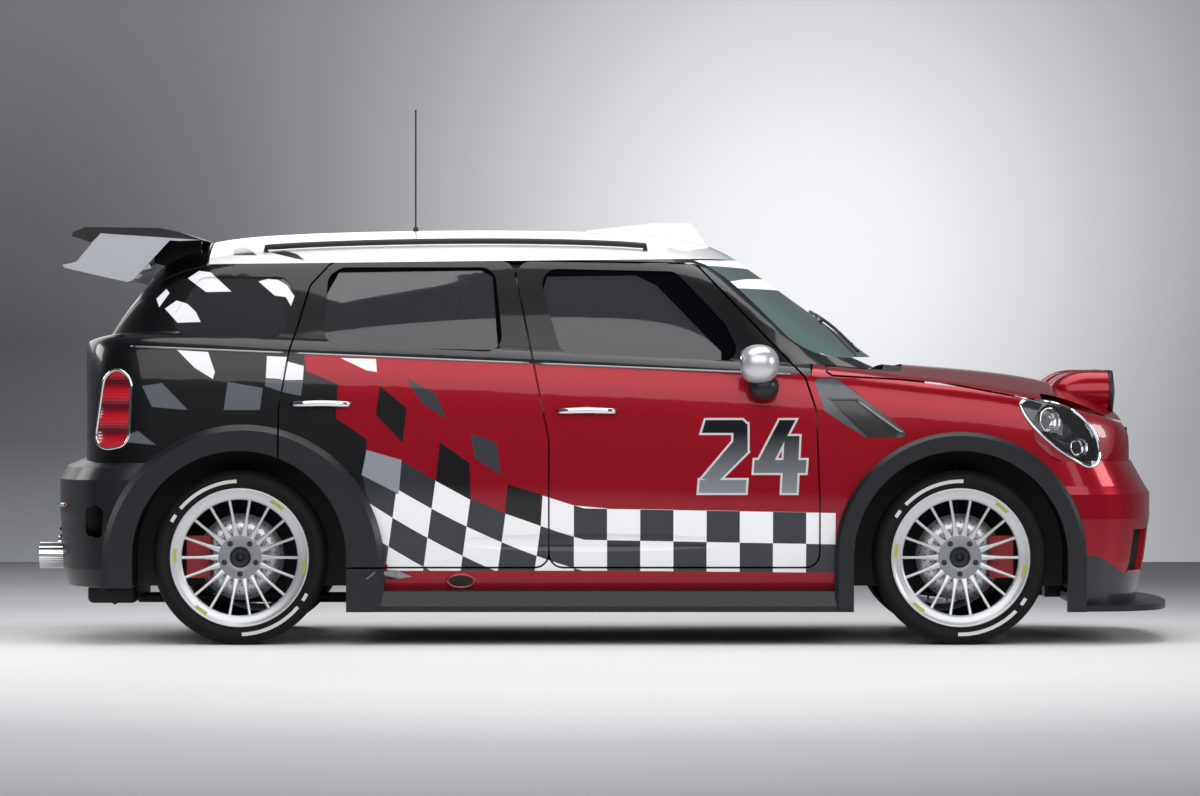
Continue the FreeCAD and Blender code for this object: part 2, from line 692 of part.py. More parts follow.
def roof_panel():
    region = side_prism(ROOF_SHARES, 0, 0, -half_flare, half_flare)
    shape = upper_body(0).common(region).cut(upper_body(S["roof_thickness"]))
    way = block(x_tail - over, tailgate_hinge_x + gap / 2, -tail_half - gap, tail_half + gap,
                tailgate_foot, S["roof_height"] + over)
    shape = shape.cut(way)
    beam = block(tailgate_hinge_x + gap, tailgate_hinge_x + gap + 3 * S["flange_width"],
                 -tail_half, tail_half, 0, S["roof_height"])
    beam = beam.common(upper_body(S["roof_thickness"])).cut(upper_body(deep_up))
    leaf = block(tailgate_hinge_x - S["flange_width"], tailgate_hinge_x + gap + S["flange_width"],
                 tail_half * 0.70, tail_half * 0.85, 0, S["roof_height"])
    leaf = leaf.common(upper_body(S["frame_thickness"] + seat)).cut(upper_body(deep_up))
    return solids_only(fused([shape, beam, leaf, mirrored(leaf)]))


def tailgate_panel():
    inner = whole_body(S["door_thickness"], S["frame_thickness"])
    region = block(x_tail - over, tailgate_hinge_x - gap / 2, -tail_half, tail_half,
                   tailgate_foot + gap, S["roof_height"] + over)
    shape = skin.common(region).cut(inner).cut(rear_window_prism(0))
    return solids_only(shape.cut(block(length_at(0) - over, length_at(1), -half_flare, half_flare, 0, height_at(0.8))))


def bonnet_region(grow):
    return side_prism(BONNET_SHARES, 0, grow, -half_flare, half_flare)


def cabin_front(grow, shift):
    shape = upper_body(-grow).copy()
    shape.translate(V(shift, 0, 0))
    return shape


def bonnet_panel():
    shape = lower_body(0).common(bonnet_region(-gap / 2)).cut(lower_body(S["bonnet_thickness"]))
    shape = shape.cut(cabin_front(gap, bonnet_cowl_width))
    return solids_only(shape.cut(headlamp_barrel(gap)).cut(mirrored(headlamp_barrel(gap))))


def front_fender():
    region = side_prism(FENDER_SHARES, 0, 0, nose_half + gap / 2)
    region = region.cut(block(0, length_at(2), 0, half_body * 0.88, 0, height_at(0.44)))
    shape = lower_body(0).common(region).cut(lower_body(S["panel_thickness"]))
    shape = shape.cut(bonnet_region(gap / 2)).cut(front_arch()).cut(front_bumper_mass)
    recess = scuttle_prism(0).cut(lower_body(S["panel_thickness"] * 0.6))
    shape = shape.cut(headlamp_barrel(0)).cut(recess)
    shape = shape.cut(side_frame_left_shape)
    return solids_only(shape)


def scuttle_prism(grow):
    return side_prism(SCUTTLE_SHARES, corner / 3, grow, frame_inner)


def fender_vent():
    plate = lower_body(S["panel_thickness"] * 0.1).common(scuttle_prism(-seat))
    plate = plate.cut(lower_body(S["panel_thickness"] * 0.6 - seat))
    mesh = side_prism([(0.820, 0.588), (0.858, 0.588), (0.905, 0.512), (0.873, 0.506)], 0, 0, frame_inner)
    plate = plate.cut(mesh.cut(lower_body(S["panel_thickness"] * 0.4)))
    return solids_only(plate.cut(bonnet_region(gap / 2)).cut(side_frame_left_shape))


def bulkhead():
    """Firewall between engine and cabin, with the cowl along the windscreen's foot."""
    wall_x = length_at(0.800)
    inside = S["panel_thickness"] + seat
    wall = block(wall_x, wall_x + S["panel_thickness"], -half_body, half_body, floor_top + seat, S["roof_height"])
    wall = wall.common(lower_body(inside)).cut(side_frame_left_shape).cut(mirrored(side_frame_left_shape))
    strip = cabin_front(-seat, bonnet_cowl_width).common(bonnet_region(gap / 2 - seat))
    cowl = lower_body(S["panel_thickness"] * 0.3).common(strip).cut(lower_body(S["bonnet_thickness"]))
    cowl = cowl.cut(cabin_front(seat, 0))
    shelf = lower_body(S["bonnet_thickness"]).common(
        block(wall_x, length_at(0.955), -half_body * 0.7, half_body * 0.7, height_at(0.5), S["roof_height"]))
    shelf = shelf.cut(lower_body(S["bonnet_thickness"] + gap + S["panel_thickness"])).cut(side_frame_left_shape)
    shelf = shelf.cut(mirrored(side_frame_left_shape))
    return solids_only(fused([wall, cowl, shelf]))


def front_bumper():
    inner = bumper_mass(x_front_axle, 1, front_sections(), 0.12 * S["front_overhang"], S["panel_thickness"])
    shape = front_bumper_mass.cut(inner)
    intake = block(x_front_axle, x_front_axle + 2 * S["front_overhang"], -half_body * 0.52, half_body * 0.52,
                   height_at(0.175), height_at(0.285))
    side_intake = block(x_front_axle, x_front_axle + 2 * S["front_overhang"], half_body * 0.60, half_body * 0.82,
                        height_at(0.175), height_at(0.275))
    return solids_only(shape.cut(intake).cut(side_intake).cut(mirrored(side_intake)))


def front_grille():
    """The upright panel between bonnet and bumper, with its slats."""
    face_x = length_at(1.2410)
    low, high = height_at(0.440) + seat, height_at(0.520)
    shape = block(face_x - 2 * S["panel_thickness"], face_x, -nose_half, nose_half, low, high)
    slat_pitch = height_at(0.0145)
    for step in range(4):
        z = height_at(0.455) + step * slat_pitch
        shape = shape.cut(block(0, length_at(1.40), -nose_half * 0.8, nose_half * 0.8, z, z + slat_pitch * 0.55))
    return shape


def front_splitter():
    low = S["ground_clearance"]
    tip = plan_section(low, S["front_overhang"], 0.5 * S["front_overhang"], half_body, 1, x_front_axle)
    lip = Part.Face(tip).extrude(V(0, 0, S["panel_thickness"]))
    base = [(low + S["panel_thickness"] - seat, 0.97, 0.99), (height_at(0.100), 0.86, 0.955)]
    wires = [plan_section(z, r * S["front_overhang"], 0.5 * S["front_overhang"], w * half_body, 1, x_front_axle)
             for z, r, w in base]
    rise = Part.makeLoft(wires, True, True)
    shape = lip.fuse(rise)
    return solids_only(shape.cut(front_wheel_zone))


def rear_bumper():
    inner = bumper_mass(x_rear_axle, -1, rear_sections(), 0.12 * S["rear_overhang"], S["panel_thickness"])
    shape = rear_bumper_mass.cut(inner)
    for side in (LEFT, RIGHT):
        shape = shape.cut(Part.makeCylinder(tail_pipe_radius + gap, S["rear_overhang"],
                                            V(x_rear_axle - S["rear_overhang"] - over, side * tail_pipe_y, tail_pipe_z),
                                            V(1, 0, 0)))
    vent = side_prism(BUMPER_VENT_SHARES, corner / 3, 0, frame_inner)
    return solids_only(shape.cut(vent).cut(mirrored(vent)))


def headlamp():
    shape = lower_body(-gap / 2).common(headlamp_barrel(-seat)).cut(lower_body(S["door_thickness"]))
    shape = shape.cut(bonnet_region(gap / 2)).cut(front_bumper_mass)
    return solids_only(shape)


def tail_lamp():
    shape = lower_body(-gap / 2).fuse(upper_body(-gap / 2)).common(tail_lamp_prism(-seat))
    shape = shape.cut(lower_body(S["door_thickness"])).cut(rear_bumper_mass)
    return solids_only(shape.common(block(x_tail - over, 0, frame_inner + seat, half_flare, 0, S["roof_height"])))


def arch_trim():
    skirt_section = [
        V(0, y, z) for y, z in (
            (half_body * 0.80, S["ground_clearance"]), (half_flare - gap * 2, S["ground_clearance"]),
            (half_flare - gap, S["ground_clearance"] + gap * 3), (half_flare - gap * 3, S["sill_height"] - gap),
            (half_body * 0.96, S["sill_height"] - seat), (half_body * 0.80, S["sill_height"] - seat),
        )]
    skirt = Part.Face(Part.makePolygon(skirt_section + skirt_section[:1]))
    start, end = x_rear_axle + flare_inner, x_front_axle - flare_inner
    skirt = skirt.extrude(V(end - start, 0, 0))
    skirt.translate(V(start, 0, 0))
    moving = door_region(REAR_DOOR_SHARES, gap / 2)
    fixed = rear_flare.cut(moving).cut(front_bumper_mass)
    shape = fused([skirt, front_flare, fixed])
    return shape.cut(side_frame_left_shape) if shape.common(side_frame_left_shape).Volume > 1 else shape


def make_arch_shapes():
    front = make_flare(x_front_axle, S["front_flare_band"], 0.12, gap * 2)
    rear = make_flare(x_rear_axle, S["rear_flare_band"], 0.12, gap * 3, rear_flare_shift)
    rear = rear.cut(block(x_tail, x_rear_axle - flare_inner / 2, 0, 2 * half_flare, 0, height_at(0.137)))
    return laid_on_skin(front, x_front_axle, -seat), laid_on_skin(rear, x_rear_axle, -seat), rear


def wheel_house(x, reach):
    """Liner over one wheel: an arched skin and the inner wall."""
    thick = S["panel_thickness"] / 3
    outer = arch_radius - seat
    arch = arch_room(x, outer, S["house_inner"] - thick, reach)
    arch = arch.cut(arch_room(x, outer - thick, S["house_inner"], reach + over))
    arch = arch.cut(Part.makeCylinder(hub_r.value * 0.5, half_flare, V(x, 0, tyre_radius), V(0, 1, 0)))
    return arch.cut(block(x - over * 2, x + over * 2, 0, half_flare, -2 * over, S["sill_height"]))


def floor_pan():
    pan = block(x_tail + over / 2, x_nose - over / 2, -frame_inner + seat, frame_inner - seat,
                S["sill_height"], floor_top)
    tunnel = block(x_rear_axle - flare_inner, length_at(0.80), -half_body * 0.17, half_body * 0.17,
                   S["sill_height"], S["sill_height"] + half_body * 0.16)
    duct = block(x_rear_axle - flare_inner - over, length_at(0.80) + over, -half_body * 0.14, half_body * 0.14,
                 0, S["sill_height"] + half_body * 0.135)
    rear_wall = block(x_tail + over / 2, x_tail + over / 2 + S["panel_thickness"], -frame_inner + seat,
                      frame_inner - seat, S["sill_height"], tailgate_foot - gap)
    well = block(x_rear_axle - over * 0.45, x_rear_axle + over * 0.45, -half_body * 0.17, half_body * 0.17,
                 0, S["roof_height"])
    shape = pan.fuse(tunnel).cut(duct).fuse(rear_wall).cut(well)
    for x in (x_rear_axle, x_front_axle):
        house = block(x - arch_radius - over / 10, x + arch_radius + over / 10,
                      S["house_inner"] - over / 15, half_flare, 0, half_body)
        shape = shape.cut(house).cut(mirrored(house))
    return solids_only(shape)


def roof_rail():
    region = block(length_at(0.03), length_at(0.565), half_body * 0.615, half_body * 0.650, 0, 2 * S["roof_height"])
    rail = upper_body(-S["panel_thickness"]).common(region).cut(upper_body(-seat))
    return solids_only(rail)


def roof_vent():
    scoop = side_prism([(0.480, 0.960), (0.480, 1.002), (0.575, 1.020), (0.630, 1.020), (0.655, 0.960)],
                       0, 0, -half_body * 0.24, half_body * 0.24)
    mouth = side_prism([(0.540, 0.990), (0.540, 1.012), (0.700, 1.014), (0.700, 0.99)],
                       0, 0, -half_body * 0.21, half_body * 0.21)
    shape = scoop.cut(upper_body(-seat))
    return solids_only(shape.cut(mouth.cut(upper_body(-gap))))


def antenna():
    foot = V(length_at(0.2355), 0, height_at(0.985))
    cone = Part.makeCone(gap * 3, gap, gap * 6, foot)
    mast = Part.makeCylinder(gap * 0.45, height_at(1.304) - foot.z, foot)
    roof_here = block(foot.x - gap * 5, foot.x + gap * 5, -gap * 5, gap * 5, height_at(0.9), height_at(1.1))
    return solids_only(cone.fuse(mast).cut(upper_body(-seat).common(roof_here)))


def mirror_piece():
    """A door mirror: a rounded cap, flat behind, on an arm from the door's front corner."""
    centre = V(length_at(0.712), half_flare + gap * 8, height_at(0.671))
    high, wide, deep = half_body * 0.088, half_body * 0.112, half_body * 0.108
    cap = block(centre.x - deep * 0.62, centre.x + deep, centre.y - wide, centre.y + wide,
                centre.z - high, centre.z + high)
    front = [e for e in cap.Edges if e.BoundBox.XMax > centre.x - deep * 0.6]
    cap = cap.makeFillet(high * 0.86, front)
    foot = V(length_at(0.728), half_body * 0.930, height_at(0.590))
    knee = V(length_at(0.722), centre.y - wide * 0.3, height_at(0.618))
    arm = tube_along([foot, knee, centre - V(0, 0, high * 0.6)], half_body * 0.030)
    return solids_only(cap.fuse(arm).cut(skin))


def lamp_pod():
    """Two round lamps in one housing, on the bonnet's nose."""
    radius = half_body * 0.092
    ahead = px_point(POD_CENTRE_PX, pod_scale)
    length = S["front_overhang"] * 0.095
    lamps = []
    for y in (half_body * 0.20, half_body * 0.42):
        middle = V(ahead.x, y, ahead.z)
        bow = Part.Ellipse(middle, radius * 1.75, radius)
        bow = Part.ArcOfEllipse(bow, math.pi / 2, math.pi).toShape()
        base = [Part.makeLine(middle - V(radius * 1.75, 0, 0), middle), Part.makeLine(middle, middle + V(0, radius, 0))]
        tail = Part.Face(Part.Wire([bow] + base)).revolve(middle, V(1, 0, 0), 360)
        barrel = Part.makeCylinder(radius, length, V(ahead.x, y, ahead.z), V(1, 0, 0))
        glass = Part.makeCylinder(radius * 0.88, length / 4, V(ahead.x + length * 0.9, y, ahead.z), V(1, 0, 0))
        lamps += [tail, barrel, glass]
    bridge = block(ahead.x - radius, ahead.x + length * 0.8, half_body * 0.20, half_body * 0.42,
                   ahead.z - radius, ahead.z - radius * 0.2)
    return solids_only(fused(lamps + [bridge]).cut(lower_body(-seat)))


def rear_wing():
    """The tall wing on the tailgate: two planes between end plates, on two struts."""
    half_span = half_body * 0.74
    plate = side_prism_px(END_PLATE_PX, near_scale, half_span, half_span + gap * 1.4)
    plane = side_prism_px(MAIN_PLANE_PX, near_scale, -half_span, half_span)
    flap = side_prism_px(LOW_PLANE_PX, near_scale, -half_span, half_span)
    strut = side_prism_px(WING_STRUT_PX, near_scale, half_body * 0.38, half_body * 0.42)
    shape = fused([plane, flap, plate, mirrored(plate), strut, mirrored(strut)]).cut(upper_body(-seat))
    return solids_only(shape.cut(block(tailgate_hinge_x - gap, 0, -half_flare, half_flare, 0, 2 * S["roof_height"])))


# Points read off the photograph, in its pixels, and what turns them into places.
px_middle = 600.35
px_horizon = 353.0
px_ground = 645.0
px_wheelbase = 721.3
mm_per_px = S["wheelbase"] / px_wheelbase
horizon_height = (px_ground - px_horizon) * mm_per_px
near_scale = 1.010
pod_scale = 1.020
POD_CENTRE_PX = (1087, 392)
END_PLATE_PX = [(88, 231), (168, 235), (171, 240), (134, 280), (128, 282), (105, 277), (66, 268), (63, 265),
                (77, 262), (93, 243)]
MAIN_PLANE_PX = [(72, 236), (74, 232), (86, 227), (160, 228), (180, 232), (203, 240), (180, 241), (130, 238),
                 (95, 237), (90, 242)]
LOW_PLANE_PX = [(105, 270), (150, 264), (152, 268), (120, 276)]
WING_STRUT_PX = [(150, 238), (198, 240), (196, 262), (150, 275), (128, 272), (150, 262)]


def px_point(point, scale):
    x = (x_rear_axle + x_front_axle) / 2 + (point[0] - px_middle) * mm_per_px * scale
    z = horizon_height + (px_horizon - point[1]) * mm_per_px * scale
    return V(x, 0, z)


def side_prism_px(points, scale, y_from, y_to):
    corners = [px_point(p, scale) for p in points]
    face = Part.Face(Part.makePolygon(corners + corners[:1]))
    face.translate(V(0, y_from, 0))
    return face.extrude(V(0, y_to - y_from, 0))


def roll_cage():
    bar = half_body * 0.024
    low, high = floor_top + bar, height_at(0.905)
    foot_y, top_y = half_body * 0.62, half_body * 0.585
    shapes = []
    for side in (LEFT, RIGHT):
        hoop_foot = V(length_at(0.305), side * foot_y, low)
        hoop_top = V(length_at(0.285), side * top_y, high)
        shapes.append(tube_along([
            hoop_foot, V(length_at(0.300), side * half_body * 0.80, height_at(0.60)), hoop_top,
            V(length_at(0.600), side * top_y, height_at(0.900)),
            V(length_at(0.745), side * half_body * 0.64, height_at(0.66)),
            V(length_at(0.765), side * foot_y, low)], bar))
        for foot_x in (length_at(0.305), length_at(0.765)):
            shapes.append(block(foot_x - 2 * bar, foot_x + 2 * bar, side * foot_y - 2 * bar, side * foot_y + 2 * bar,
                                floor_top + seat, low))
        shapes.append(tube_along([hoop_top, V(x_rear_axle - arch_radius * 0.3, side * half_body * 0.50,
                                              height_at(0.50))], bar))
    shapes.append(tube_along([V(length_at(0.285), -top_y, high), V(length_at(0.285), top_y, high)], bar))
    shapes.append(tube_along([V(length_at(0.600), -top_y, height_at(0.900)),
                              V(length_at(0.600), top_y, height_at(0.900))], bar))
    shapes.append(tube_along([V(length_at(0.285), -top_y, high),
                              V(x_rear_axle - arch_radius * 0.3, half_body * 0.50, height_at(0.50))], bar))
    balls = [Part.makeSphere(bar, V(length_at(0.285), side * top_y, high)) for side in (LEFT, RIGHT)]
    return fused(shapes + balls)


def seat_solid(side):
    y = side * half_body * 0.42
    half = half_body * 0.22
    profile = [(0.360, 0.185), (0.520, 0.195), (0.535, 0.270), (0.430, 0.255), (0.385, 0.460), (0.368, 0.640),
               (0.330, 0.640), (0.335, 0.440)]
    points = [side_point(p) for p in profile]
    face = Part.Face(rounded_wire(points, corner / 2))
    face.translate(V(0, y - half, 0))
    shape = face.extrude(V(0, 2 * half, 0))
    wing = [(0.345, 0.20), (0.520, 0.20), (0.520, 0.315), (0.445, 0.330), (0.420, 0.440), (0.425, 0.520),
            (0.375, 0.600), (0.335, 0.600)]
    wings = Part.Face(rounded_wire([side_point(p) for p in wing], corner / 2))
    wings.translate(V(0, y - half, 0))
    wings = wings.extrude(V(0, 2 * half, 0))
    scoop = block(length_at(0.30), length_at(0.60), y - half * 0.80, y + half * 0.80, 0, S["roof_height"])
    shape = shape.fuse(wings.cut(scoop))
    rails = block(length_at(0.380), length_at(0.500), y - half * 0.7, y + half * 0.7, floor_top + seat,
                  height_at(0.20))
    return shape.fuse(rails)


def dashboard():
    profile = [(0.700, 0.440), (0.690, 0.560), (0.675, 0.590), (0.680, 0.620), (0.745, 0.650), (0.790, 0.640),
               (0.790, 0.440)]
    shape = Part.Face(rounded_wire([side_point(p) for p in profile], corner / 2))
    half = half_body * 0.675
    shape.translate(V(0, -half, 0))
    shape = shape.extrude(V(0, 2 * half, 0))
    return solids_only(shape.cut(cage_shape))


# Pieces modelled as bodies and primitives whose sizes follow the sheet.
def origin_plane(body, role):
    return next(f for f in body.Origin.OriginFeatures if f.Role == role)


def new_body(name):
    body = doc.addObject("PartDesign::Body", name)
    body.Label = name
    return body


def closed_sketch(body, name, role, points, lift=None):
    """A sketch through corners given as pairs of Lengths, each tied to the sheet."""
    sketch = body.newObject("Sketcher::SketchObject", name)
    sketch.AttachmentSupport = [(origin_plane(body, role), "")]
    sketch.MapMode = "FlatFace"
    if lift is not None:
        sketch.setExpression("AttachmentOffset.Base.z", lift.text)
    corners = [V(a.value, b.value, 0) for a, b in points]
    count = len(corners)
    for i in range(count):
        sketch.addGeometry(Part.LineSegment(corners[i], corners[(i + 1) % count]), False)
    for i in range(count):
        sketch.addConstraint(Sketcher.Constraint("Coincident", i, 2, (i + 1) % count, 1))
    for i, (across, along) in enumerate(points):
        for kind, size in (("DistanceX", across), ("DistanceY", along)):
            number = sketch.addConstraint(Sketcher.Constraint(kind, -1, 1, i, 1, size.value))
            sketch.setExpression(f"Constraints[{number}]", size.text)
    return sketch


def revolve(body, sketch, name, axis="V_Axis"):
    turn = body.newObject("PartDesign::Revolution", name)
    turn.Profile = sketch
    turn.ReferenceAxis = (sketch, [axis])
    turn.Angle = 360
    sketch.Visibility = False
    return turn


def pad_both_ways(body, sketch, name, length):
    pad = body.newObject("PartDesign::Pad", name)
    pad.Profile = sketch
    pad.SideType = "Symmetric"
    pad.setExpression("Length", length.text)
    return pad


def around_wheel_axis(body, feature, name, count):
    pattern = body.newObject("PartDesign::PolarPattern", name)
    pattern.Originals = [feature]
    pattern.Axis = (origin_plane(body, "Y_Axis"), [""])
    pattern.Angle = 360
    pattern.Occurrences = count
    body.Tip = pattern
    return pattern


def place_wheel_piece(piece, x_axle, side):
    """Puts a piece modelled about the origin, outboard along +Y, at one wheel."""
    turn = FreeCAD.Rotation(V(0, 0, 1), 0 if side == LEFT else 180)
    piece.Placement = FreeCAD.Placement(V(x_axle, side * half_track, tyre_radius), turn)
    made.append(piece)


rim_r = SIZE["rim_diameter"] / 2
wheel_half = SIZE["tyre_width"] / 2
tyre_r = SIZE["tyre_diameter"] / 2
bead_r = rim_r * 0.932
hub_r = rim_r * 0.35
disc_r = SIZE["disc_diameter"] / 2
none = SIZE["seat_gap"] * 0
SPOKES = 18
WHEEL_BOLTS = 5
WHEELS = [
    ("front_left", x_front_axle, LEFT), ("front_right", x_front_axle, RIGHT),
    ("rear_left", x_rear_axle, LEFT), ("rear_right", x_rear_axle, RIGHT),
]


def tyre(name, x_axle, side):
    body = new_body(f"tyre_{name}")
    bead = bead_r + SIZE["seat_gap"]
    half = [
        (bead, wheel_half * 0.76), (tyre_r * 0.908, wheel_half), (tyre_r * 0.975, wheel_half * 0.90),
        (tyre_r, wheel_half * 0.72),
    ]
    outline = half + [(r, -y) for r, y in reversed(half)]
    sketch = closed_sketch(body, f"tyre_{name}_section", "XY_Plane", outline)
    revolve(body, sketch, f"tyre_{name}_ring")
    place_wheel_piece(body, x_axle, side)


def rim(name, x_axle, side):
    """A many-spoked wheel with its brake disc: hub first, then spokes, then the barrel."""
    body = new_body(f"rim_{name}")
    bore = rim_r * 0.148
    bell = hub_r * 0.94
    disc_back = -wheel_half * 0.55
    disc_front = disc_back + SIZE["disc_thickness"]
    hub = [
        (bore, wheel_half * 0.09), (bore, wheel_half * 0.50), (hub_r, wheel_half * 0.50),
        (hub_r * 1.1, wheel_half * 0.42), (hub_r * 1.1, wheel_half * 0.09), (hub_r, wheel_half * 0.09),
        (hub_r, disc_front), (disc_r, disc_front), (disc_r, disc_back), (bell, disc_back),
        (bell, wheel_half * 0.09),
    ]
    revolve(body, closed_sketch(body, f"rim_{name}_hub_section", "XY_Plane", hub), f"rim_{name}_hub")
    spoke = [
        (hub_r, wheel_half * 0.20), (hub_r, wheel_half * 0.49), (rim_r * 0.85, wheel_half * 0.74),
        (rim_r * 0.90, wheel_half * 0.74), (rim_r * 0.90, wheel_half * 0.56), (rim_r * 0.50, wheel_half * 0.28),
    ]
    section = closed_sketch(body, f"rim_{name}_spoke_section", "XY_Plane", spoke)
    blade = pad_both_ways(body, section, f"rim_{name}_spoke", rim_r * 0.046)
    around_wheel_axis(body, blade, f"rim_{name}_spokes", SPOKES)
    barrel = [
        (rim_r, wheel_half * 0.91), (rim_r, wheel_half * 0.85), (rim_r * 0.952, wheel_half * 0.80),
        (bead_r, wheel_half * 0.77), (bead_r, wheel_half * -0.77), (rim_r * 0.952, wheel_half * -0.80),
        (rim_r, wheel_half * -0.85), (rim_r, wheel_half * -0.91), (rim_r * 0.89, wheel_half * -0.91),
        (rim_r * 0.885, wheel_half * 0.54), (rim_r * 0.835, wheel_half * 0.60), (rim_r * 0.835, wheel_half * 0.78),
        (rim_r * 0.92, wheel_half * 0.84), (rim_r * 0.97, wheel_half * 0.91),
    ]
    revolve(body, closed_sketch(body, f"rim_{name}_barrel_section", "XY_Plane", barrel), f"rim_{name}_barrel")
    hole = body.newObject("PartDesign::SubtractiveCylinder", f"rim_{name}_bolt_hole")
    hole.setExpression("Radius", (rim_r * 0.032).text)
    hole.setExpression("Height", (wheel_half * 1.2).text)
    hole.setExpression("Placement.Base.x", (rim_r * 0.24).text)
    hole.setExpression("Placement.Base.y", (wheel_half * 0.8).text)
    hole.Placement.Rotation = FreeCAD.Rotation(V(1, 0, 0), 90)
    around_wheel_axis(body, hole, f"rim_{name}_bolt_holes", WHEEL_BOLTS)
    place_wheel_piece(body, x_axle, side)


def upright(name, x_axle, side, caliper_side):
    """The upright that carries one wheel, with its spindle and brake caliper."""
    body = new_body(f"{name}")
    face = wheel_half * 0.09 - SIZE["seat_gap"]
    spindle = [
        (none, boot_y), (hub_r * 0.45, boot_y), (hub_r * 0.45, -wheel_half * 0.45),
        (hub_r * 0.80, -wheel_half * 0.25), (hub_r * 0.80, face), (none, face),
    ]
    revolve(body, closed_sketch(body, f"{name}_spindle_section", "XY_Plane", spindle), f"{name}_spindle")
    post = [
        (-hub_r * 0.55, cup_z), (hub_r * 0.55, cup_z), (hub_r * 0.75, none),
        (hub_r * 0.55, ball_z + stud_length), (-hub_r * 0.55, ball_z + stud_length), (-hub_r * 0.75, none),
    ]
    sketch = closed_sketch(body, f"{name}_post_outline", "XZ_Plane", post, wheel_half * 0.80)
    pad_both_ways(body, sketch, f"{name}_post", wheel_half * 0.26)
    bracket = [
        (-wheel_half * 0.70, cup_z), (cup_y, cup_z), (cup_y, cup_z - hub_r * 0.5), (-wheel_half * 0.70, none),
    ]
    sketch = closed_sketch(body, f"{name}_bracket_outline", "YZ_Plane", bracket)
    pad_both_ways(body, sketch, f"{name}_bracket", hub_r * 0.6)
    cup = body.newObject("PartDesign::AdditiveCylinder", f"{name}_cup")
    cup.setExpression("Radius", (hub_r * 0.40).text)
    cup.setExpression("Height", (cup_length * 2).text)
    lean = kingpin_direction(LEFT)
    cup.Placement = FreeCAD.Placement(
        V(0, cup_y.value, cup_z.value) - lean * cup_length.value, FreeCAD.Rotation(V(0, 0, 1), lean))
    stud = body.newObject("PartDesign::AdditiveCylinder", f"{name}_ball_stud")
    stud.setExpression("Radius", (hub_r * 0.12).text)
    stud.setExpression("Height", (stud_length * 2).text)
    stud.Placement = FreeCAD.Placement(V(0, ball_y.value, ball_z.value), FreeCAD.Rotation(V(0, 0, 1), lean))
    boot = body.newObject("PartDesign::AdditiveSphere", f"{name}_boot")
    boot.setExpression("Radius", boot_radius.text)
    boot.Placement = FreeCAD.Placement(V(0, boot_y.value, 0), FreeCAD.Rotation())
    toward = caliper_side
    reach = [
        (disc_r * 0.60, -wheel_half * 0.92), (disc_r * 1.22, -wheel_half * 0.92), (disc_r * 1.22, none),
        (disc_r * 0.68, none), (disc_r * 0.68, disc_gap_front), (disc_r * 1.06, disc_gap_front),
        (disc_r * 1.06, disc_gap_back), (disc_r * 0.60, disc_gap_back),
    ]
    jaw = [(a * toward, b) for a, b in reach]
    section = closed_sketch(body, f"{name}_caliper_section", "XY_Plane", jaw)
    pad_both_ways(body, section, f"{name}_caliper", disc_r * 0.95)
    link = [
        (none, -wheel_half * 0.92), (disc_r * 0.80 * toward, -wheel_half * 0.92),
        (disc_r * 0.80 * toward, -wheel_half * 0.70), (none, -wheel_half * 0.70),
    ]
    bridge = closed_sketch(body, f"{name}_caliper_link_section", "XY_Plane", link)
    pad_both_ways(body, bridge, f"{name}_caliper_link", hub_r * 0.8)
    place_wheel_piece(body, x_axle, side)


# The steering axis runs from the lower ball joint, inboard of the disc, up to the strut.
ball_y = -SIZE["kingpin_inset"]
ball_z = -rim_r * 0.52
cup_y = ball_y - rim_r * 0.245
cup_z = rim_r * 0.46
cup_length = hub_r * 0.12
stud_length = SIZE["shut_gap"] * 1.2
boot_y = ball_y + ball_z * 0.25
boot_radius = hub_r * 0.50
clear = SIZE["shut_gap"] * 0.75
disc_gap_back = -wheel_half * 0.55 - clear
disc_gap_front = -wheel_half * 0.55 + SIZE["disc_thickness"] + clear


def steering_wheel():
    body = new_body("steering_wheel")
    ring = SIZE["body_width"] * 0.095
    grip = SIZE["body_width"] * 0.0085
    loop = [(ring + grip * a, grip * b) for a, b in RING_SECTION_SHARES]
    revolve(body, closed_sketch(body, "steering_ring_section", "XY_Plane", loop), "steering_ring")
    spokes = [(-ring, -grip * 1.2), (ring, -grip * 1.2), (ring, grip * 1.2), (-ring, grip * 1.2)]
    bar = closed_sketch(body, "steering_spoke_outline", "XZ_Plane", spokes)
    pad_both_ways(body, bar, "steering_spokes", grip * 0.8)
    stem = [(none, -grip * 9), (grip * 1.6, -grip * 9), (grip * 3, grip), (none, grip)]
    revolve(body, closed_sketch(body, "steering_boss_section", "XY_Plane", stem), "steering_boss")
    body.Placement = FreeCAD.Placement(steering_centre, FreeCAD.Rotation(V(0, 1, 0), steering_axis))
    made.append(body)


RING_SECTION_SHARES = [
    (1.0, 0.0), (0.707, 0.707), (0.0, 1.0), (-0.707, 0.707), (-1.0, 0.0), (-0.707, -0.707), (0.0, -1.0),
    (0.707, -0.707),
]
steering_centre = V(length_at(0.610), half_body * 0.42, height_at(0.590))
steering_axis = V(-0.906, 0, 0.423)


def steering_column():
    start = steering_centre - steering_axis * (SIZE["body_width"].value * 0.0085 * 9 + seat)
    return Part.makeCylinder(half_body * 0.025, half_body * 0.30, start, -steering_axis)


exhaust_bar = half_body * 0.022


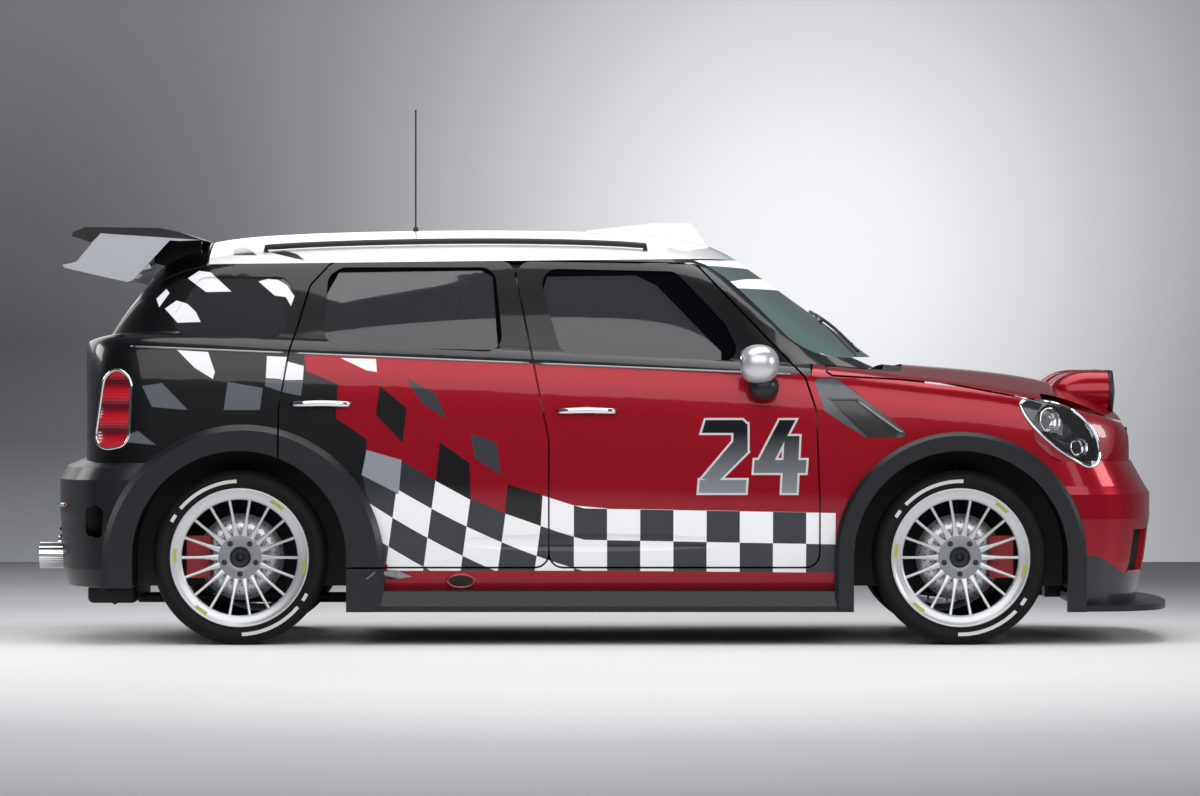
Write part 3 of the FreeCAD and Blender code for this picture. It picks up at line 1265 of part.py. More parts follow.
def suspension(x_axle, driven_from):
    """A cross beam, lower arms, spring struts and half shafts for one axle."""
    beam_z = S["ground_clearance"] + gap / 2 + exhaust_bar * 2 + gap
    beam = block(x_axle - over * 0.5, x_axle + over * 0.5, -half_body * 0.42, half_body * 0.42,
                 beam_z, S["sill_height"] - seat)
    shapes = [beam]
    arm, shaft = half_body * 0.018, half_body * 0.020
    for side in (LEFT, RIGHT):
        def place(y, z):
            return V(x_axle, side * (half_track + y), tyre_radius + z)
        ball = place(ball_y.value, ball_z.value) - kingpin_direction(side) * (arm + seat)
        shaft_end = place(boot_y.value - boot_radius.value - seat, 0)
        shaft_root = V(x_axle, side * driven_from, tyre_radius)
        shapes.append(Part.makeCylinder(shaft, (shaft_end - shaft_root).Length, shaft_root, shaft_end - shaft_root))
        for shift in (-0.4, 0.4):
            root = V(x_axle + shift * over, side * half_body * 0.38, ball.z + arm / 4)
            shapes.append(tube_along([root, ball], arm * 0.7))
        shapes.append(Part.makeSphere(arm, ball))
        foot = place(cup_y.value, cup_z.value) + kingpin_direction(side) * (cup_length.value + seat)
        shapes.append(Part.makeCylinder(half_body * 0.030, arch_radius * 0.52, foot, kingpin_direction(side)))
        shapes.append(Part.makeCylinder(half_body * 0.062, gap, foot + kingpin_direction(side) * arch_radius * 0.25,
                                        kingpin_direction(side)))
    return fused(shapes)


def rear_drive():
    case = Part.makeCylinder(half_body * 0.11, half_body * 0.16, V(x_rear_axle, -half_body * 0.08, tyre_radius),
                             V(0, 1, 0))
    return case.fuse(block(x_rear_axle - over * 0.2, x_rear_axle + over * 0.2, -half_body * 0.07, half_body * 0.07,
                           S["sill_height"] - gap, tyre_radius))


def kingpin_direction(side):
    down = V(0, side * ball_y.value, ball_z.value)
    up = V(0, side * cup_y.value, cup_z.value)
    return (up - down).normalize()


def exhaust():
    bar = exhaust_bar
    pipe_z = S["ground_clearance"] + gap / 2 + bar
    outlet_y, outlet_z = tail_pipe_y, tail_pipe_z
    end_x = x_rear_axle - S["rear_overhang"]
    shapes = [tube_along([
        V(length_at(0.80), 0, pipe_z), V(x_rear_axle + arch_radius * 1.1, 0, pipe_z)], bar)]
    shapes.append(rounded_block(x_tail + over * 0.15, x_rear_axle - arch_radius, -half_body * 0.45, half_body * 0.45,
                                S["ground_clearance"] + gap * 2, S["sill_height"] - seat, gap * 3))
    shapes.append(tube_along([V(x_rear_axle + arch_radius * 1.1, 0, pipe_z),
                              V(x_rear_axle - arch_radius * 1.05, 0, pipe_z)], bar))
    tip = tail_pipe_radius
    for side in (LEFT, RIGHT):
        shapes.append(tube_along([V(x_tail + over * 0.5, side * outlet_y * 0.8, pipe_z),
                                  V(x_tail + over * 0.2, side * outlet_y, outlet_z * 0.8),
                                  V(end_x + over * 0.4, side * outlet_y, outlet_z)], bar))
        tail = Part.makeCylinder(tip, over * 0.6, V(end_x, side * outlet_y, outlet_z), V(1, 0, 0))
        bore = Part.makeCylinder(tip * 0.86, over * 0.3, V(end_x - gap, side * outlet_y, outlet_z), V(1, 0, 0))
        shapes.append(tail.cut(bore))
    return solids_only(fused(shapes))


def engine():
    box = doc.addObject("Part::Box", "engine_block")
    box.Label = "engine_block"
    wide, long, tall = SIZE["body_width"] * 0.34, SIZE["wheelbase"] * 0.17, SIZE["roof_height"] * 0.30
    box.setExpression("Length", long.text)
    box.setExpression("Width", wide.text)
    box.setExpression("Height", tall.text)
    middle = SIZE["wheelbase"] * 1.01 + SIZE["rear_overhang"]
    total = SIZE["wheelbase"] + SIZE["rear_overhang"] + SIZE["front_overhang"]
    box.setExpression("Placement.Base.x", (middle - total / 2 - long / 2).text)
    box.setExpression("Placement.Base.y", (-(wide / 2)).text)
    box.setExpression("Placement.Base.z", (SIZE["sill_height"] + SIZE["panel_thickness"] + SIZE["seat_gap"]).text)
    made.append(box)


# The doors, gate and bonnet depend on the flares and on the fixed frame, so those come first.
nose_half = half_body * 0.600
front_fender_reach = half_body * 0.94
front_flare, rear_flare, rear_flare_whole = make_arch_shapes()
side_frame_left_shape = side_frame()
bonnet_shape = bonnet_panel()
cage_shape = roll_cage()

keep("side_frame_left", side_frame_left_shape)
keep("side_frame_right", mirrored(side_frame_left_shape))
keep("roof_panel", roof_panel())
keep("bonnet", bonnet_shape)
keep("tailgate", tailgate_panel())
front_door_shape = front_door()
rear_door_shape = rear_door()
keep("door_front_left", front_door_shape)
keep("door_front_right", mirrored(front_door_shape))
keep("door_rear_left", rear_door_shape)
keep("door_rear_right", mirrored(rear_door_shape))
front_pane = pane(window_prism(FRONT_WINDOW_SHARES, glass_grow))
rear_pane = pane(window_prism(REAR_WINDOW_SHARES, glass_grow))
keep("window_front_left", front_pane)
keep("window_front_right", mirrored(front_pane))
keep("window_rear_left", rear_pane)
keep("window_rear_right", mirrored(rear_pane))
quarter_pane = pane(window_prism(QUARTER_WINDOW_SHARES, glass_grow))
keep("fixed_glass", Part.makeCompound([pane(windscreen_prism(glass_grow)), quarter_pane, mirrored(quarter_pane)]))
keep("rear_window", pane(rear_window_prism(glass_grow)))
keep("bulkhead", bulkhead())
keep("front_fenders", both_sides(front_fender()))
keep("fender_vents", both_sides(fender_vent()))
keep("front_bumper", front_bumper())
keep("front_grille", front_grille())
keep("front_splitter", front_splitter())
keep("rear_bumper", rear_bumper())
keep("headlamps", both_sides(headlamp()))
keep("tail_lamps", both_sides(tail_lamp()))
keep("arch_trims", both_sides(arch_trim()))
front_house = wheel_house(x_front_axle, front_fender_reach)
rear_house = wheel_house(x_rear_axle, half_body - deep_low)
keep("wheel_houses", Part.makeCompound([front_house, mirrored(front_house), rear_house, mirrored(rear_house)]))
keep("floor_pan", floor_pan())
keep("roof_rails", both_sides(roof_rail()))
keep("roof_vent", roof_vent())
keep("antenna", antenna())
mirror_shape = mirror_piece()
keep("mirror_left", mirror_shape)
keep("mirror_right", mirrored(mirror_shape))
keep("rear_wing", rear_wing())
keep("lamp_pods", both_sides(lamp_pod()))
keep("roll_cage", cage_shape)
keep("seats", Part.makeCompound([seat_solid(LEFT), seat_solid(RIGHT)]))
keep("dashboard", dashboard().fuse(steering_column()))
front_axle_gear = suspension(x_front_axle, half_body * 0.36)
rear_axle_gear = solids_only(suspension(x_rear_axle, half_body * 0.07).fuse(rear_drive()))
keep("front_suspension", front_axle_gear)
keep("rear_suspension", rear_axle_gear)
keep("exhaust", exhaust())
for name, x_axle, side in WHEELS:
    tyre(name, x_axle, side)
    rim(name, x_axle, side)
    ahead = 1 if x_axle == x_front_axle else -1
    upright("knuckle_" + name, x_axle, side, ahead * side)
steering_wheel()
engine()

doc.recompute()
os.makedirs("parts", exist_ok=True)
faults = []
for item in doc.Objects:
    if "Invalid" in item.State or "Error" in item.State:
        faults.append(f"{item.Label}: {item.State}")
for piece in made:
    if piece.Shape.isNull() or not piece.Shape.isValid() or not piece.Shape.Solids:
        faults.append(f"{piece.Label}: bad shape")
if faults:
    raise RuntimeError("; ".join(faults))
for piece in made:
    print(piece.Label, len(piece.Shape.Solids), round(piece.Shape.Volume / 1e6, 2))
    piece.Shape.exportStep(f"parts/{piece.Label}.step")
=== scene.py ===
import math

import bpy
import bmesh
from mathutils import Matrix, Vector
from mathutils.bvhtree import BVHTree


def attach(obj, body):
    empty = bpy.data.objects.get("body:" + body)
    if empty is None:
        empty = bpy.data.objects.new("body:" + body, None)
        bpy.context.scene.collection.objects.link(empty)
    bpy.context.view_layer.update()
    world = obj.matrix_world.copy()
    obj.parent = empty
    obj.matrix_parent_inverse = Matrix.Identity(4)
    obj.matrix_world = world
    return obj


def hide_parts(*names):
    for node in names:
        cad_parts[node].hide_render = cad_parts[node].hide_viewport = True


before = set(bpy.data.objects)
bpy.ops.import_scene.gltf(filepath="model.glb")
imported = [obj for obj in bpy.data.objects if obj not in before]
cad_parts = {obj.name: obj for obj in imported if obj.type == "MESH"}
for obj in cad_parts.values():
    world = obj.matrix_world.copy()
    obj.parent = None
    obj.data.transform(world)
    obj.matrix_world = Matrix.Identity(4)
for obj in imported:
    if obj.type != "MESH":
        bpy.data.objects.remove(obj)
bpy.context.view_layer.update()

scene = bpy.context.scene

# Places shared with the solids, in metres: the wheels, and the side view's scale, ground, horizon and eye.
REAR_X, FRONT_X, AXLE_Z, TRACK_HALF = -1.3175, 1.2775, 0.314, 0.777
PX = 2.595 / 721.3
PX_MIDDLE, PX_GROUND, PX_HORIZON = 600.35, 645.0, 353.0
EYE_X, EYE_Y, EYE_Z = -0.02, -25.7, (PX_GROUND - PX_HORIZON) * PX
SIDES = (("left", 1), ("right", -1))


def px_row(place):
    """The row of the side view that a point lies on."""
    return PX_GROUND - place.z / PX


def px(x, y, scale=1.0):
    """A point of the side view, given by its column and row, as (x, z) in metres."""
    return (EYE_X + (x - PX_MIDDLE) * PX * scale, EYE_Z + (PX_HORIZON - y) * PX * scale)


def sides_of(corners):
    """Each side of a convex outline: where it starts, and the unit normal that points inwards."""
    pairs = list(zip(corners, corners[1:] + corners[:1]))
    turn = 1 if sum(a[0] * b[1] - b[0] * a[1] for a, b in pairs) > 0 else -1
    for a, b in pairs:
        nx, ny = (a[1] - b[1]) * turn, (b[0] - a[0]) * turn
        size = math.hypot(nx, ny)
        yield a, nx / size, ny / size


# Materials.
def colour(code):
    """An sRGB hex code as linear red, green, blue and one."""
    parts = [int(code[i:i + 2], 16) / 255 for i in (1, 3, 5)]
    return tuple(c / 12.92 if c <= 0.04045 else ((c + 0.055) / 1.055) ** 2.4 for c in parts) + (1.0,)


def node(mat, kind, inputs=(), out=0, **settings):
    """Adds a shader node with its operation, settings and inputs, and returns one of its outputs."""
    kind, _, operation = kind.partition(" ")
    made = mat.node_tree.nodes.new("ShaderNode" + kind)
    if operation:
        made.operation = operation
    for name, value in settings.items():
        setattr(made, name, value)
    for key, value in inputs.items() if isinstance(inputs, dict) else enumerate(inputs):
        if isinstance(value, bpy.types.NodeSocket):
            mat.node_tree.links.new(value, made.inputs[key])
        else:
            made.inputs[key].default_value = value
    return made.outputs[out]


def link(shader, name, source):
    """Feeds one of a shader's inputs from a node."""
    shader.id_data.links.new(source, shader.inputs[name])


def material(name, **inputs):
    """A material and its shader, with the shader's inputs set by name."""
    mat = bpy.data.materials.new(name)
    mat.use_nodes = True
    shader = mat.node_tree.nodes["Principled BSDF"]
    for key, value in inputs.items():
        shader.inputs[key.replace("_", " ")].default_value = value
    return mat, shader


def side_coords(mat):
    """Column and row of the side view for a point of the body, with a one, and the point's X, Y and Z."""
    axes = node(mat, "SeparateXYZ", (node(mat, "TexCoord", out="Object"),)).node.outputs
    column = node(mat, "Math MULTIPLY_ADD", (axes["X"], 1 / PX, PX_MIDDLE - EYE_X / PX))
    row = node(mat, "Math MULTIPLY_ADD", (axes["Z"], -1 / PX, PX_GROUND))
    return node(mat, "CombineXYZ", (column, row, 1.0)), axes


def depth_in(mat, spot, outlines):
    """How far a spot of the side view lies inside any of some convex outlines, in pixels."""
    deepest = None
    for corners in outlines:
        depth = None
        for start, nx, ny in sides_of(corners):
            line = (nx, ny, -nx * start[0] - ny * start[1])
            edge = node(mat, "VectorMath DOT_PRODUCT", (spot, line), "Value")
            depth = edge if depth is None else node(mat, "Math MINIMUM", (depth, edge))
        deepest = depth if deepest is None else node(mat, "Math MAXIMUM", (deepest, depth))
    return deepest


def mask(mat, depth, grow=0.0):
    """One inside an outline and zero outside it, with an edge half a pixel wide."""
    return node(mat, "Math MULTIPLY_ADD", (depth, 2.0, 0.5 + 2.0 * grow), use_clamp=True)


def paint_over(mat, under, over, factor):
    """A colour laid over another where the factor is one. Each is a colour or a socket."""
    return node(mat, "Mix", {0: factor, 6: under, 7: over}, 2, data_type="RGBA")


def patches(mat, spot, paint, outlines, tone):
    """Flat patches of one colour laid over the paint."""
    return paint_over(mat, paint, tone, mask(mat, depth_in(mat, spot, outlines)))


def grain(mat, shader, size, depth, stretch=(1, 1, 1)):
    """A fine relief: size is the width of its bumps in metres, depth their height."""
    place = node(mat, "Mapping", {"Vector": node(mat, "TexCoord", out="Object"), "Scale": stretch})
    noise = node(mat, "TexNoise", {"Vector": place, "Scale": 1 / size, "Detail": 3.0})
    link(shader, "Normal", node(mat, "Bump", {"Height": noise, "Distance": depth}))
    return noise


# The livery's colours, and its outlines in columns and rows of the side view.
RED, BLACK, WHITE, GREY = colour("#92041A"), colour("#07080B"), colour("#F0F1F3"), colour("#5D6168")
DARK_SQUARE, PALE_SQUARE, FADED = colour("#2C2F34"), colour("#8B9097"), colour("#33373C")
LAMP_SHADE, NOSE_GREY = colour("#26292D"), colour("#2B2F33")
CABIN = [
    [(40, 342), (120, 346), (832, 376), (832, 200), (40, 200)],
    [(826, 340), (846, 350), (878, 369), (878, 373), (826, 372)],
]
DARK_REAR = [
    [(40, 340), (304, 350), (306, 372), (300, 600), (40, 600)],
    [(300, 370), (306, 371), (338, 384), (336, 420), (300, 420)],
    [(300, 418), (336, 418), (367, 439), (366, 475), (340, 500), (300, 480)],
    [(338, 466), (366, 474), (401, 496), (394, 530), (380, 520), (340, 500)],
]
BLACK_DIAMONDS = [
    [(380, 386), (407, 408), (403, 443), (376, 415)],
    [(440, 442), (470, 463), (471, 500), (436, 481)],
    [(508, 484.5), (541, 494), (541, 526), (505, 513.5)],
]
GREY_SQUARE = [[(367, 450), (402, 460), (399, 494), (362, 475)]]
GREY_PATCHES = [
    [(142, 386), (162, 383), (188, 410), (152, 407)],
    [(228, 382), (263, 388), (260, 410), (224, 410)],
    [(266, 379), (303, 381), (301, 398), (283, 392), (265, 388)],
    [(122, 437), (138, 431), (156, 445), (122, 442)],
]
FADED_DIAMONDS = [
    [(406, 378), (435, 393), (447, 419), (422, 403)],
    [(471, 433), (497, 443), (501, 475), (475, 458)],
]
WHITE_PATCHES = [
    [(177, 350), (208, 352), (215, 372), (213, 379), (195, 368)],
    [(267, 356), (287, 357), (281, 379), (266, 378)],
    [(286, 361), (304, 366), (303, 380), (281, 380)],
    [(341, 358), (376, 359), (377, 372), (366, 370)],
]
QUARTER_PATCHES = [
    [(184, 277.5), (195, 270), (207, 271.5), (228.5, 291), (203, 291.5)],
    [(161.7, 308.3), (173.3, 300), (184.2, 303.3), (193.3, 311.7), (198.3, 321.7), (175, 322.5)],
    [(255.8, 280.8), (265, 278.3), (275.8, 279.2), (285, 285), (287, 297), (272.5, 295)],
    [(280, 282), (285, 285), (292.5, 295.8), (289.2, 305.8), (284, 297)],
    [(152.5, 298.3), (162.5, 288.3), (165.8, 292.5), (155.8, 306.7)],
]
LAMP_OUTLINE = [
    (1020, 401), (1030, 398.5), (1040, 399.5), (1060, 402.5), (1080, 414), (1092.5, 426), (1100, 440),
    (1102.5, 455), (1100, 465), (1090, 468), (1077.5, 461), (1060, 450), (1045, 437.5), (1032.5, 425),
    (1022.5, 410),
]
LOWER_NOSE = [
    [(1060, 557), (1100, 556), (1126, 574), (1126, 640), (1060, 640)],
    [(1125, 574), (1175, 574), (1175, 640), (1125, 640)],
]
CHEQUER_ZONE = [
    [(607, 508.5), (836, 513), (836, 573), (607, 571)],
    [(574, 505.5), (608, 508.5), (608, 571), (574, 571)],
    [(541, 495), (575, 505.5), (575, 571), (541, 571)],
    [(505, 513), (542, 525.5), (542, 571), (502, 571)],
    [(470, 498), (506, 513.5), (503, 571), (462, 571)],
    [(436, 480.5), (471, 498.5), (464, 571), (424, 571)],
    [(402, 461), (437, 481), (427, 571), (387, 571)],
    [(363, 475), (398, 494.5), (389, 566), (384, 562), (372, 518)],
]
# The strokes of the digits, as slanted bars.
NUMBER_STROKES = [
    [(706, 420), (743, 420), (748, 425), (748, 433), (702, 433)],
    [(734, 424), (748, 424), (748, 452), (733, 460)],
    [(733, 442), (748, 452), (718, 482), (702, 479)],
    [(700, 480), (747, 480), (746, 493), (699, 493)],
    [(780, 420), (796, 420), (772, 466), (756, 466)],
    [(755, 460), (807, 460), (806, 473), (754, 473)],
    [(785, 436), (800, 436), (797, 493), (782, 493)],
]
UPPER_LAYERS = (
    (BLACK_DIAMONDS, BLACK), (GREY_SQUARE, PALE_SQUARE), (GREY_PATCHES, GREY), (FADED_DIAMONDS, FADED),
    (WHITE_PATCHES, WHITE),
)

# The chequers, in pixels: their sizes ahead and behind, the first row and column, and how they bend and lean.
SQUARE_AHEAD, SQUARE_BEHIND, SQUARE_TALL = 33.2, 35.0, 31.5
FIRST_ROW, FIRST_COLUMN, BEND_COLUMN = 540.0, 541.0, 585.0
BEND, BEND_GROWTH, TILT, LEAN = 0.28, 0.00085, 0.018, 4.1
# The number, in pixels: the column midway between its digits, the width of its rim, and where its tone fades.
NUMBER_MIDDLE, NUMBER_RIM, FADE_TOP, FADE_FOOT = 753.0, 2.0, 432.0, 505.0
SIDE_FROM_Y = 0.45
FLAKES = 0.5


def chequer_band(mat, spot, paint):
    """Two rows of squares along the sill, bending upwards and leaning back towards the tail."""
    places = node(mat, "SeparateXYZ", (spot,)).node.outputs
    behind = node(mat, "Math SUBTRACT", (BEND_COLUMN, places["X"]))
    bent = node(mat, "Math MAXIMUM", (behind, 0.0))
    slope = node(mat, "Math MULTIPLY_ADD", (bent, BEND_GROWTH, BEND))
    climb = node(mat, "Math MULTIPLY_ADD", (bent, slope, places["Y"]))
    level_part = node(mat, "Math MINIMUM", (behind, 0.0))
    level = node(mat, "Math MULTIPLY_ADD", (level_part, TILT, climb))
    row = node(mat, "Math MULTIPLY_ADD", (level, 1 / SQUARE_TALL, -FIRST_ROW / SQUARE_TALL))
    ahead = node(mat, "Math SUBTRACT", (places["X"], FIRST_COLUMN))
    leaning = node(mat, "Math MULTIPLY_ADD", (row, LEAN, ahead))
    front = node(mat, "Math MAXIMUM", (ahead, 0.0))
    rear = node(mat, "Math MINIMUM", (leaning, 0.0))
    rear_cells = node(mat, "Math DIVIDE", (rear, SQUARE_BEHIND))
    cells = node(mat, "Math MULTIPLY_ADD", (front, 1 / SQUARE_AHEAD, rear_cells))
    cell = node(mat, "CombineXYZ", (cells, row, 0.5))
    check = node(mat, "TexChecker", {"Vector": cell, "Color1": WHITE, "Color2": DARK_SQUARE, "Scale": 1.0})
    return paint_over(mat, paint, check, mask(mat, depth_in(mat, spot, CHEQUER_ZONE)))


def number(mat, spot, paint, across):
    """The race number: dark at the top, fading to grey, with a pale rim. It reads rightly on both sides."""
    way = node(mat, "Math MULTIPLY", (node(mat, "Math SIGN", (across,)), -1.0))
    places = node(mat, "SeparateXYZ", (spot,)).node.outputs
    offset = node(mat, "Math SUBTRACT", (places["X"], NUMBER_MIDDLE))
    column = node(mat, "Math MULTIPLY_ADD", (offset, way, NUMBER_MIDDLE))
    strokes = depth_in(mat, node(mat, "CombineXYZ", (column, places["Y"], 1.0)), NUMBER_STROKES)
    paint = paint_over(mat, paint, colour("#C9CBD0"), mask(mat, strokes, NUMBER_RIM))
    fade = node(mat, "MapRange", {"Value": places["Y"], "From Min": FADE_TOP, "From Max": FADE_FOOT})
    tone = paint_over(mat, colour("#040509"), colour("#8F9399"), fade)
    return paint_over(mat, paint, tone, mask(mat, strokes))


def car_paint(name):
    """Car paint under a clear coat: deep, with soft reflections."""
    mat, shader = material(name, Roughness=0.3, Coat_Weight=0.5, Coat_Roughness=0.04,
                           Specular_IOR_Level=0.2)
    grain(mat, shader, 0.006, 0.00003)
    return mat, shader


def livery(name, layers, nose=False):
    """Flaked car paint: its red is deep where it faces the dark and bright over the floor."""
    mat, shader = car_paint(name)
    spot, axes = side_coords(mat)
    paint = chequer_band(mat, spot, patches(mat, spot, RED, DARK_REAR, BLACK))
    for outlines, tone in UPPER_LAYERS:
        paint = patches(mat, spot, paint, outlines, tone)
    paint = number(mat, spot, paint, axes["Y"])
    for outlines, tone in layers:
        paint = patches(mat, spot, paint, outlines, tone)
    base = patches(mat, spot, RED, LOWER_NOSE, NOSE_GREY) if nose else RED
    away = node(mat, "Math ABSOLUTE", (axes["Y"],))
    shown = paint_over(mat, base, paint, node(mat, "Math GREATER_THAN", (away, SIDE_FROM_Y)))
    link(shader, "Base Color", shown)
    tones = node(mat, "SeparateColor", (shown,)).node.outputs
    redness = node(mat, "Math SUBTRACT", (tones["Red"], tones["Blue"]))
    flaked = node(mat, "Math MULTIPLY", (redness, FLAKES / RED[0]), use_clamp=True)
    link(shader, "Metallic", flaked)
    return mat


side_paint = livery("side_livery_paint", ((CABIN, BLACK), (QUARTER_PATCHES, WHITE)))
red_paint = livery("red_car_paint", (([LAMP_OUTLINE], LAMP_SHADE),))
bumper_paint = livery("two_tone_bumper_paint", (([LAMP_OUTLINE], LAMP_SHADE), (LOWER_NOSE, NOSE_GREY)),
                      nose=True)
# Plain black, so that the wing and the tailgate only show by their reflections.
dark_paint, shader = car_paint("black_gloss_paint")
shader.inputs["Base Color"].default_value = BLACK

ROOF_GILLS = [
    [(228, 247), (236, 245), (244, 247), (253, 254), (229, 254)],
    [(266, 251), (280, 249), (294, 253), (303, 260), (290, 257)],
]
WING_DARK = [
    [(86, 215), (216, 215), (216, 240), (176, 237.5), (92, 232)],
    [(60, 215), (96, 215), (96, 233), (88, 241), (60, 243)],
]
VENT_DARK = [[(828, 398), (858, 398), (900, 432), (893, 441), (868, 438)]]


def marked_material(name, base, outlines, tone, roughness=0.35, coat=1.0, coat_roughness=0.05):
    """A finish with patches of another colour at places of the side view."""
    mat, shader = material(name, Roughness=roughness, Coat_Weight=coat, Coat_Roughness=coat_roughness)
    grain(mat, shader, 0.006, 0.00004)
    link(shader, "Base Color", patches(mat, side_coords(mat)[0], base, outlines, tone))
    return mat


# White roof paint with dark gills, the vent's grey plastic with its dark mouth, and the wing's grey ends.
white_paint = marked_material("white_gloss_paint", WHITE, ROOF_GILLS, colour("#2A2B2F"))
vent_paint = marked_material("two_tone_vent_plastic", colour("#43474C"), VENT_DARK, colour("#08090A"),
                             0.3, 0.5, 0.15)
wing_white = marked_material("wing_end_paint", colour("#B4B6BE"), WING_DARK, BLACK)
WEAR_SHARE = 0.35


def moulded(name, tone, worn, roughness, coat, size, depth, gloss=0.5):
    """Moulded plastic, rubber or cast metal: a fine grain, and faint, paler wear in soft patches."""
    mat, shader = material(name, Roughness=roughness, Coat_Weight=coat, Coat_Roughness=0.15,
                           Specular_IOR_Level=gloss)
    wear = node(mat, "Math MULTIPLY", (grain(mat, shader, size, depth), WEAR_SHARE))
    link(shader, "Base Color", paint_over(mat, colour(tone), colour(worn), wear))
    return mat


def metal(name, tone, roughness, metallic=1.0, stretch=(1, 1, 1), depth=0.00003):
    """Bare or painted metal with faint marks of its finishing."""
    mat, shader = material(name, Base_Color=colour(tone), Metallic=metallic, Roughness=roughness)
    grain(mat, shader, 0.002, depth, stretch)
    return mat


# Satin anthracite arches and skirts, with a soft sheen on their upper curves.
satin_dark = moulded("anthracite_satin_plastic", "#14161A", "#202328", 0.4, 0.15, 0.004, 0.00005, 0.3)
# Plain black trim with a leathery moulding grain.
black_plastic = moulded("black_moulded_plastic", "#08080A", "#121214", 0.5, 0.0, 0.002, 0.0001)
# Tyre rubber: matt and nearly black, with no clear highlight.
rubber = moulded("tyre_rubber", "#070708", "#141415", 0.75, 0.0, 0.003, 0.0002, 0.25)
# Sand-cast metal under a dark coat: rough and dull.
iron = moulded("dark_cast_metal", "#141518", "#26282C", 0.55, 0.0, 0.004, 0.0003)
# Pale enamel on the cage's tubes: smooth with a light gloss.
cage_white = moulded("cage_paint", "#AEB1B5", "#C3C5C8", 0.4, 0.3, 0.01, 0.00005)
# The bucket seats' hard black shell: glossy over a faint laminate grain.
seat_shell = moulded("black_seat_shell", "#141417", "#232327", 0.35, 0.4, 0.003, 0.00008)
# Baked red paint on the cast calipers.
caliper_red = moulded("red_caliper_paint", "#A80C1B", "#C4404A", 0.4, 0.3, 0.004, 0.0001)
# Silver and grey wheel paint, whose flakes give a soft metallic spread.
silver = metal("silver_wheel_paint", "#C4C6C9", 0.34, 0.6)
hub_grey = metal("grey_hub_paint", "#84878B", 0.42, 0.5)
# Bright chrome, a turned disc with fine rings, and satin trim.
chrome = metal("polished_chrome", "#E6E6E9", 0.1, depth=0.00001)
steel = metal("turned_steel", "#C3C5C8", 0.3, 0.9, (1, 0.1, 1))
trim_metal = metal("satin_trim_metal", "#8E9093", 0.3)
# The lamps' smoked reflector, and the mirrors' silver caps.
lamp_bowl = metal("dark_lamp_reflector", "#3A3D42", 0.2, 0.9)
mirror_cap = metal("silver_cap_paint", "#C9CBCF", 0.3, 0.6)
# Silvered glass, matt printed marks, and red paint on the small pieces.
mirror_face, _ = material("mirror_glass", Base_Color=colour("#F0F0F0"), Metallic=1.0, Roughness=0.01)
yellow_mark, _ = material("yellow_paint_mark", Base_Color=colour("#A8A340"), Roughness=0.5)
white_mark, _ = material("white_tyre_mark", Base_Color=colour("#C9C9C7"), Roughness=0.6)
red_cup, _ = material("red_plain_paint", Base_Color=colour("#8A0418"), Roughness=0.35, Coat_Weight=1.0,
                      Coat_Roughness=0.03)


def banded_lens(name, axis, pitch, rise, dark, bright, fine_share=0.0):
    """A moulded lamp lens: bands across one axis that swell, with finer ones on them. Its colour follows the
    relief as painted light: painted shade darkens the hollows between the bands and a painted highlight
    lightens their crests.
    """
    mat, shader = material(name, Roughness=0.12, Coat_Weight=1.0, Coat_Roughness=0.03)
    place = side_coords(mat)[1][axis]
    turns = [node(mat, "Math MULTIPLY", (place, 2 * math.pi * times / pitch)) for times in (1, 8)]
    wide, fine = [node(mat, "Math SINE", (turn,)) for turn in turns]
    height = node(mat, "Math MULTIPLY_ADD", (fine, fine_share, wide))
    link(shader, "Normal", node(mat, "Bump", {"Height": height, "Distance": rise}))
    # Painted shade in the hollows between the bands, and a painted highlight on their crests.
    share = node(mat, "Math MULTIPLY_ADD", (height, 0.5, 0.5), use_clamp=True)
    link(shader, "Base Color", paint_over(mat, colour(dark), colour(bright), share))
    return mat


# Red acrylic with level bands for the tail, and clear glass with upright ribs for the bonnet lamps.
red_lens = banded_lens("red_lens", "Z", 0.088, 0.004, "#5A0713", "#D3172C", 0.08)
pod_glass = banded_lens("ribbed_lamp_lens", "Y", 0.012, 0.0015, "#9EA3A8", "#E4E7EA")


def window_glass(name, tint, opacity, outlines=(), tone=WHITE, around=False):
    """Thin tinted glass: mostly see-through, with a clear reflection, and paint inside or around outlines."""
    mat, shader = material(name, Base_Color=colour(tint), Roughness=0.02)
    clear = node(mat, "BsdfTransparent", (colour(tint),))
    body = node(mat, "MixShader", (opacity, clear, shader.outputs[0]))
    gloss = node(mat, "BsdfGlossy", {"Color": (1, 1, 1, 1), "Roughness": 0.02})
    shown = node(mat, "MixShader", (node(mat, "Fresnel", (1.5,)), body, gloss))
    if outlines:
        cover = mask(mat, depth_in(mat, side_coords(mat)[0], outlines))
        if around:
            cover = node(mat, "Math SUBTRACT", (1.0, cover))
        shown = node(mat, "MixShader", (cover, shown, node(mat, "BsdfDiffuse", (tone,))))
    link(mat.node_tree.nodes["Material Output"], "Surface", shown)
    return mat


SUN_STRIP = [
    [(660, 262), (668, 240), (790, 240), (775, 270), (745, 268), (700, 264)],
    [(718, 283), (748, 278), (800, 276), (800, 289), (722, 287)],
]
CLEAR_PANES = [
    [(547, 276), (637, 275), (657, 285), (722, 352), (722, 364), (560, 357), (553, 350), (543, 290)],
    [(337, 272), (480, 270), (492, 276), (498, 350), (330, 347), (318, 338), (322, 300)],
]
side_glass = window_glass("smoked_side_glass", "#8F8E95", 0.1, CLEAR_PANES, BLACK, True)
front_glass = window_glass("green_windscreen_glass", "#7E9C98", 0.45, SUN_STRIP)
quarter_glass = window_glass("smoked_quarter_glass", "#8F8E95", 0.1, QUARTER_PATCHES)
rear_glass = window_glass("smoked_rear_glass", "#8F8E95", 0.1)
clear_lens = window_glass("clear_lamp_lens", "#F2F4F6", 0.02)

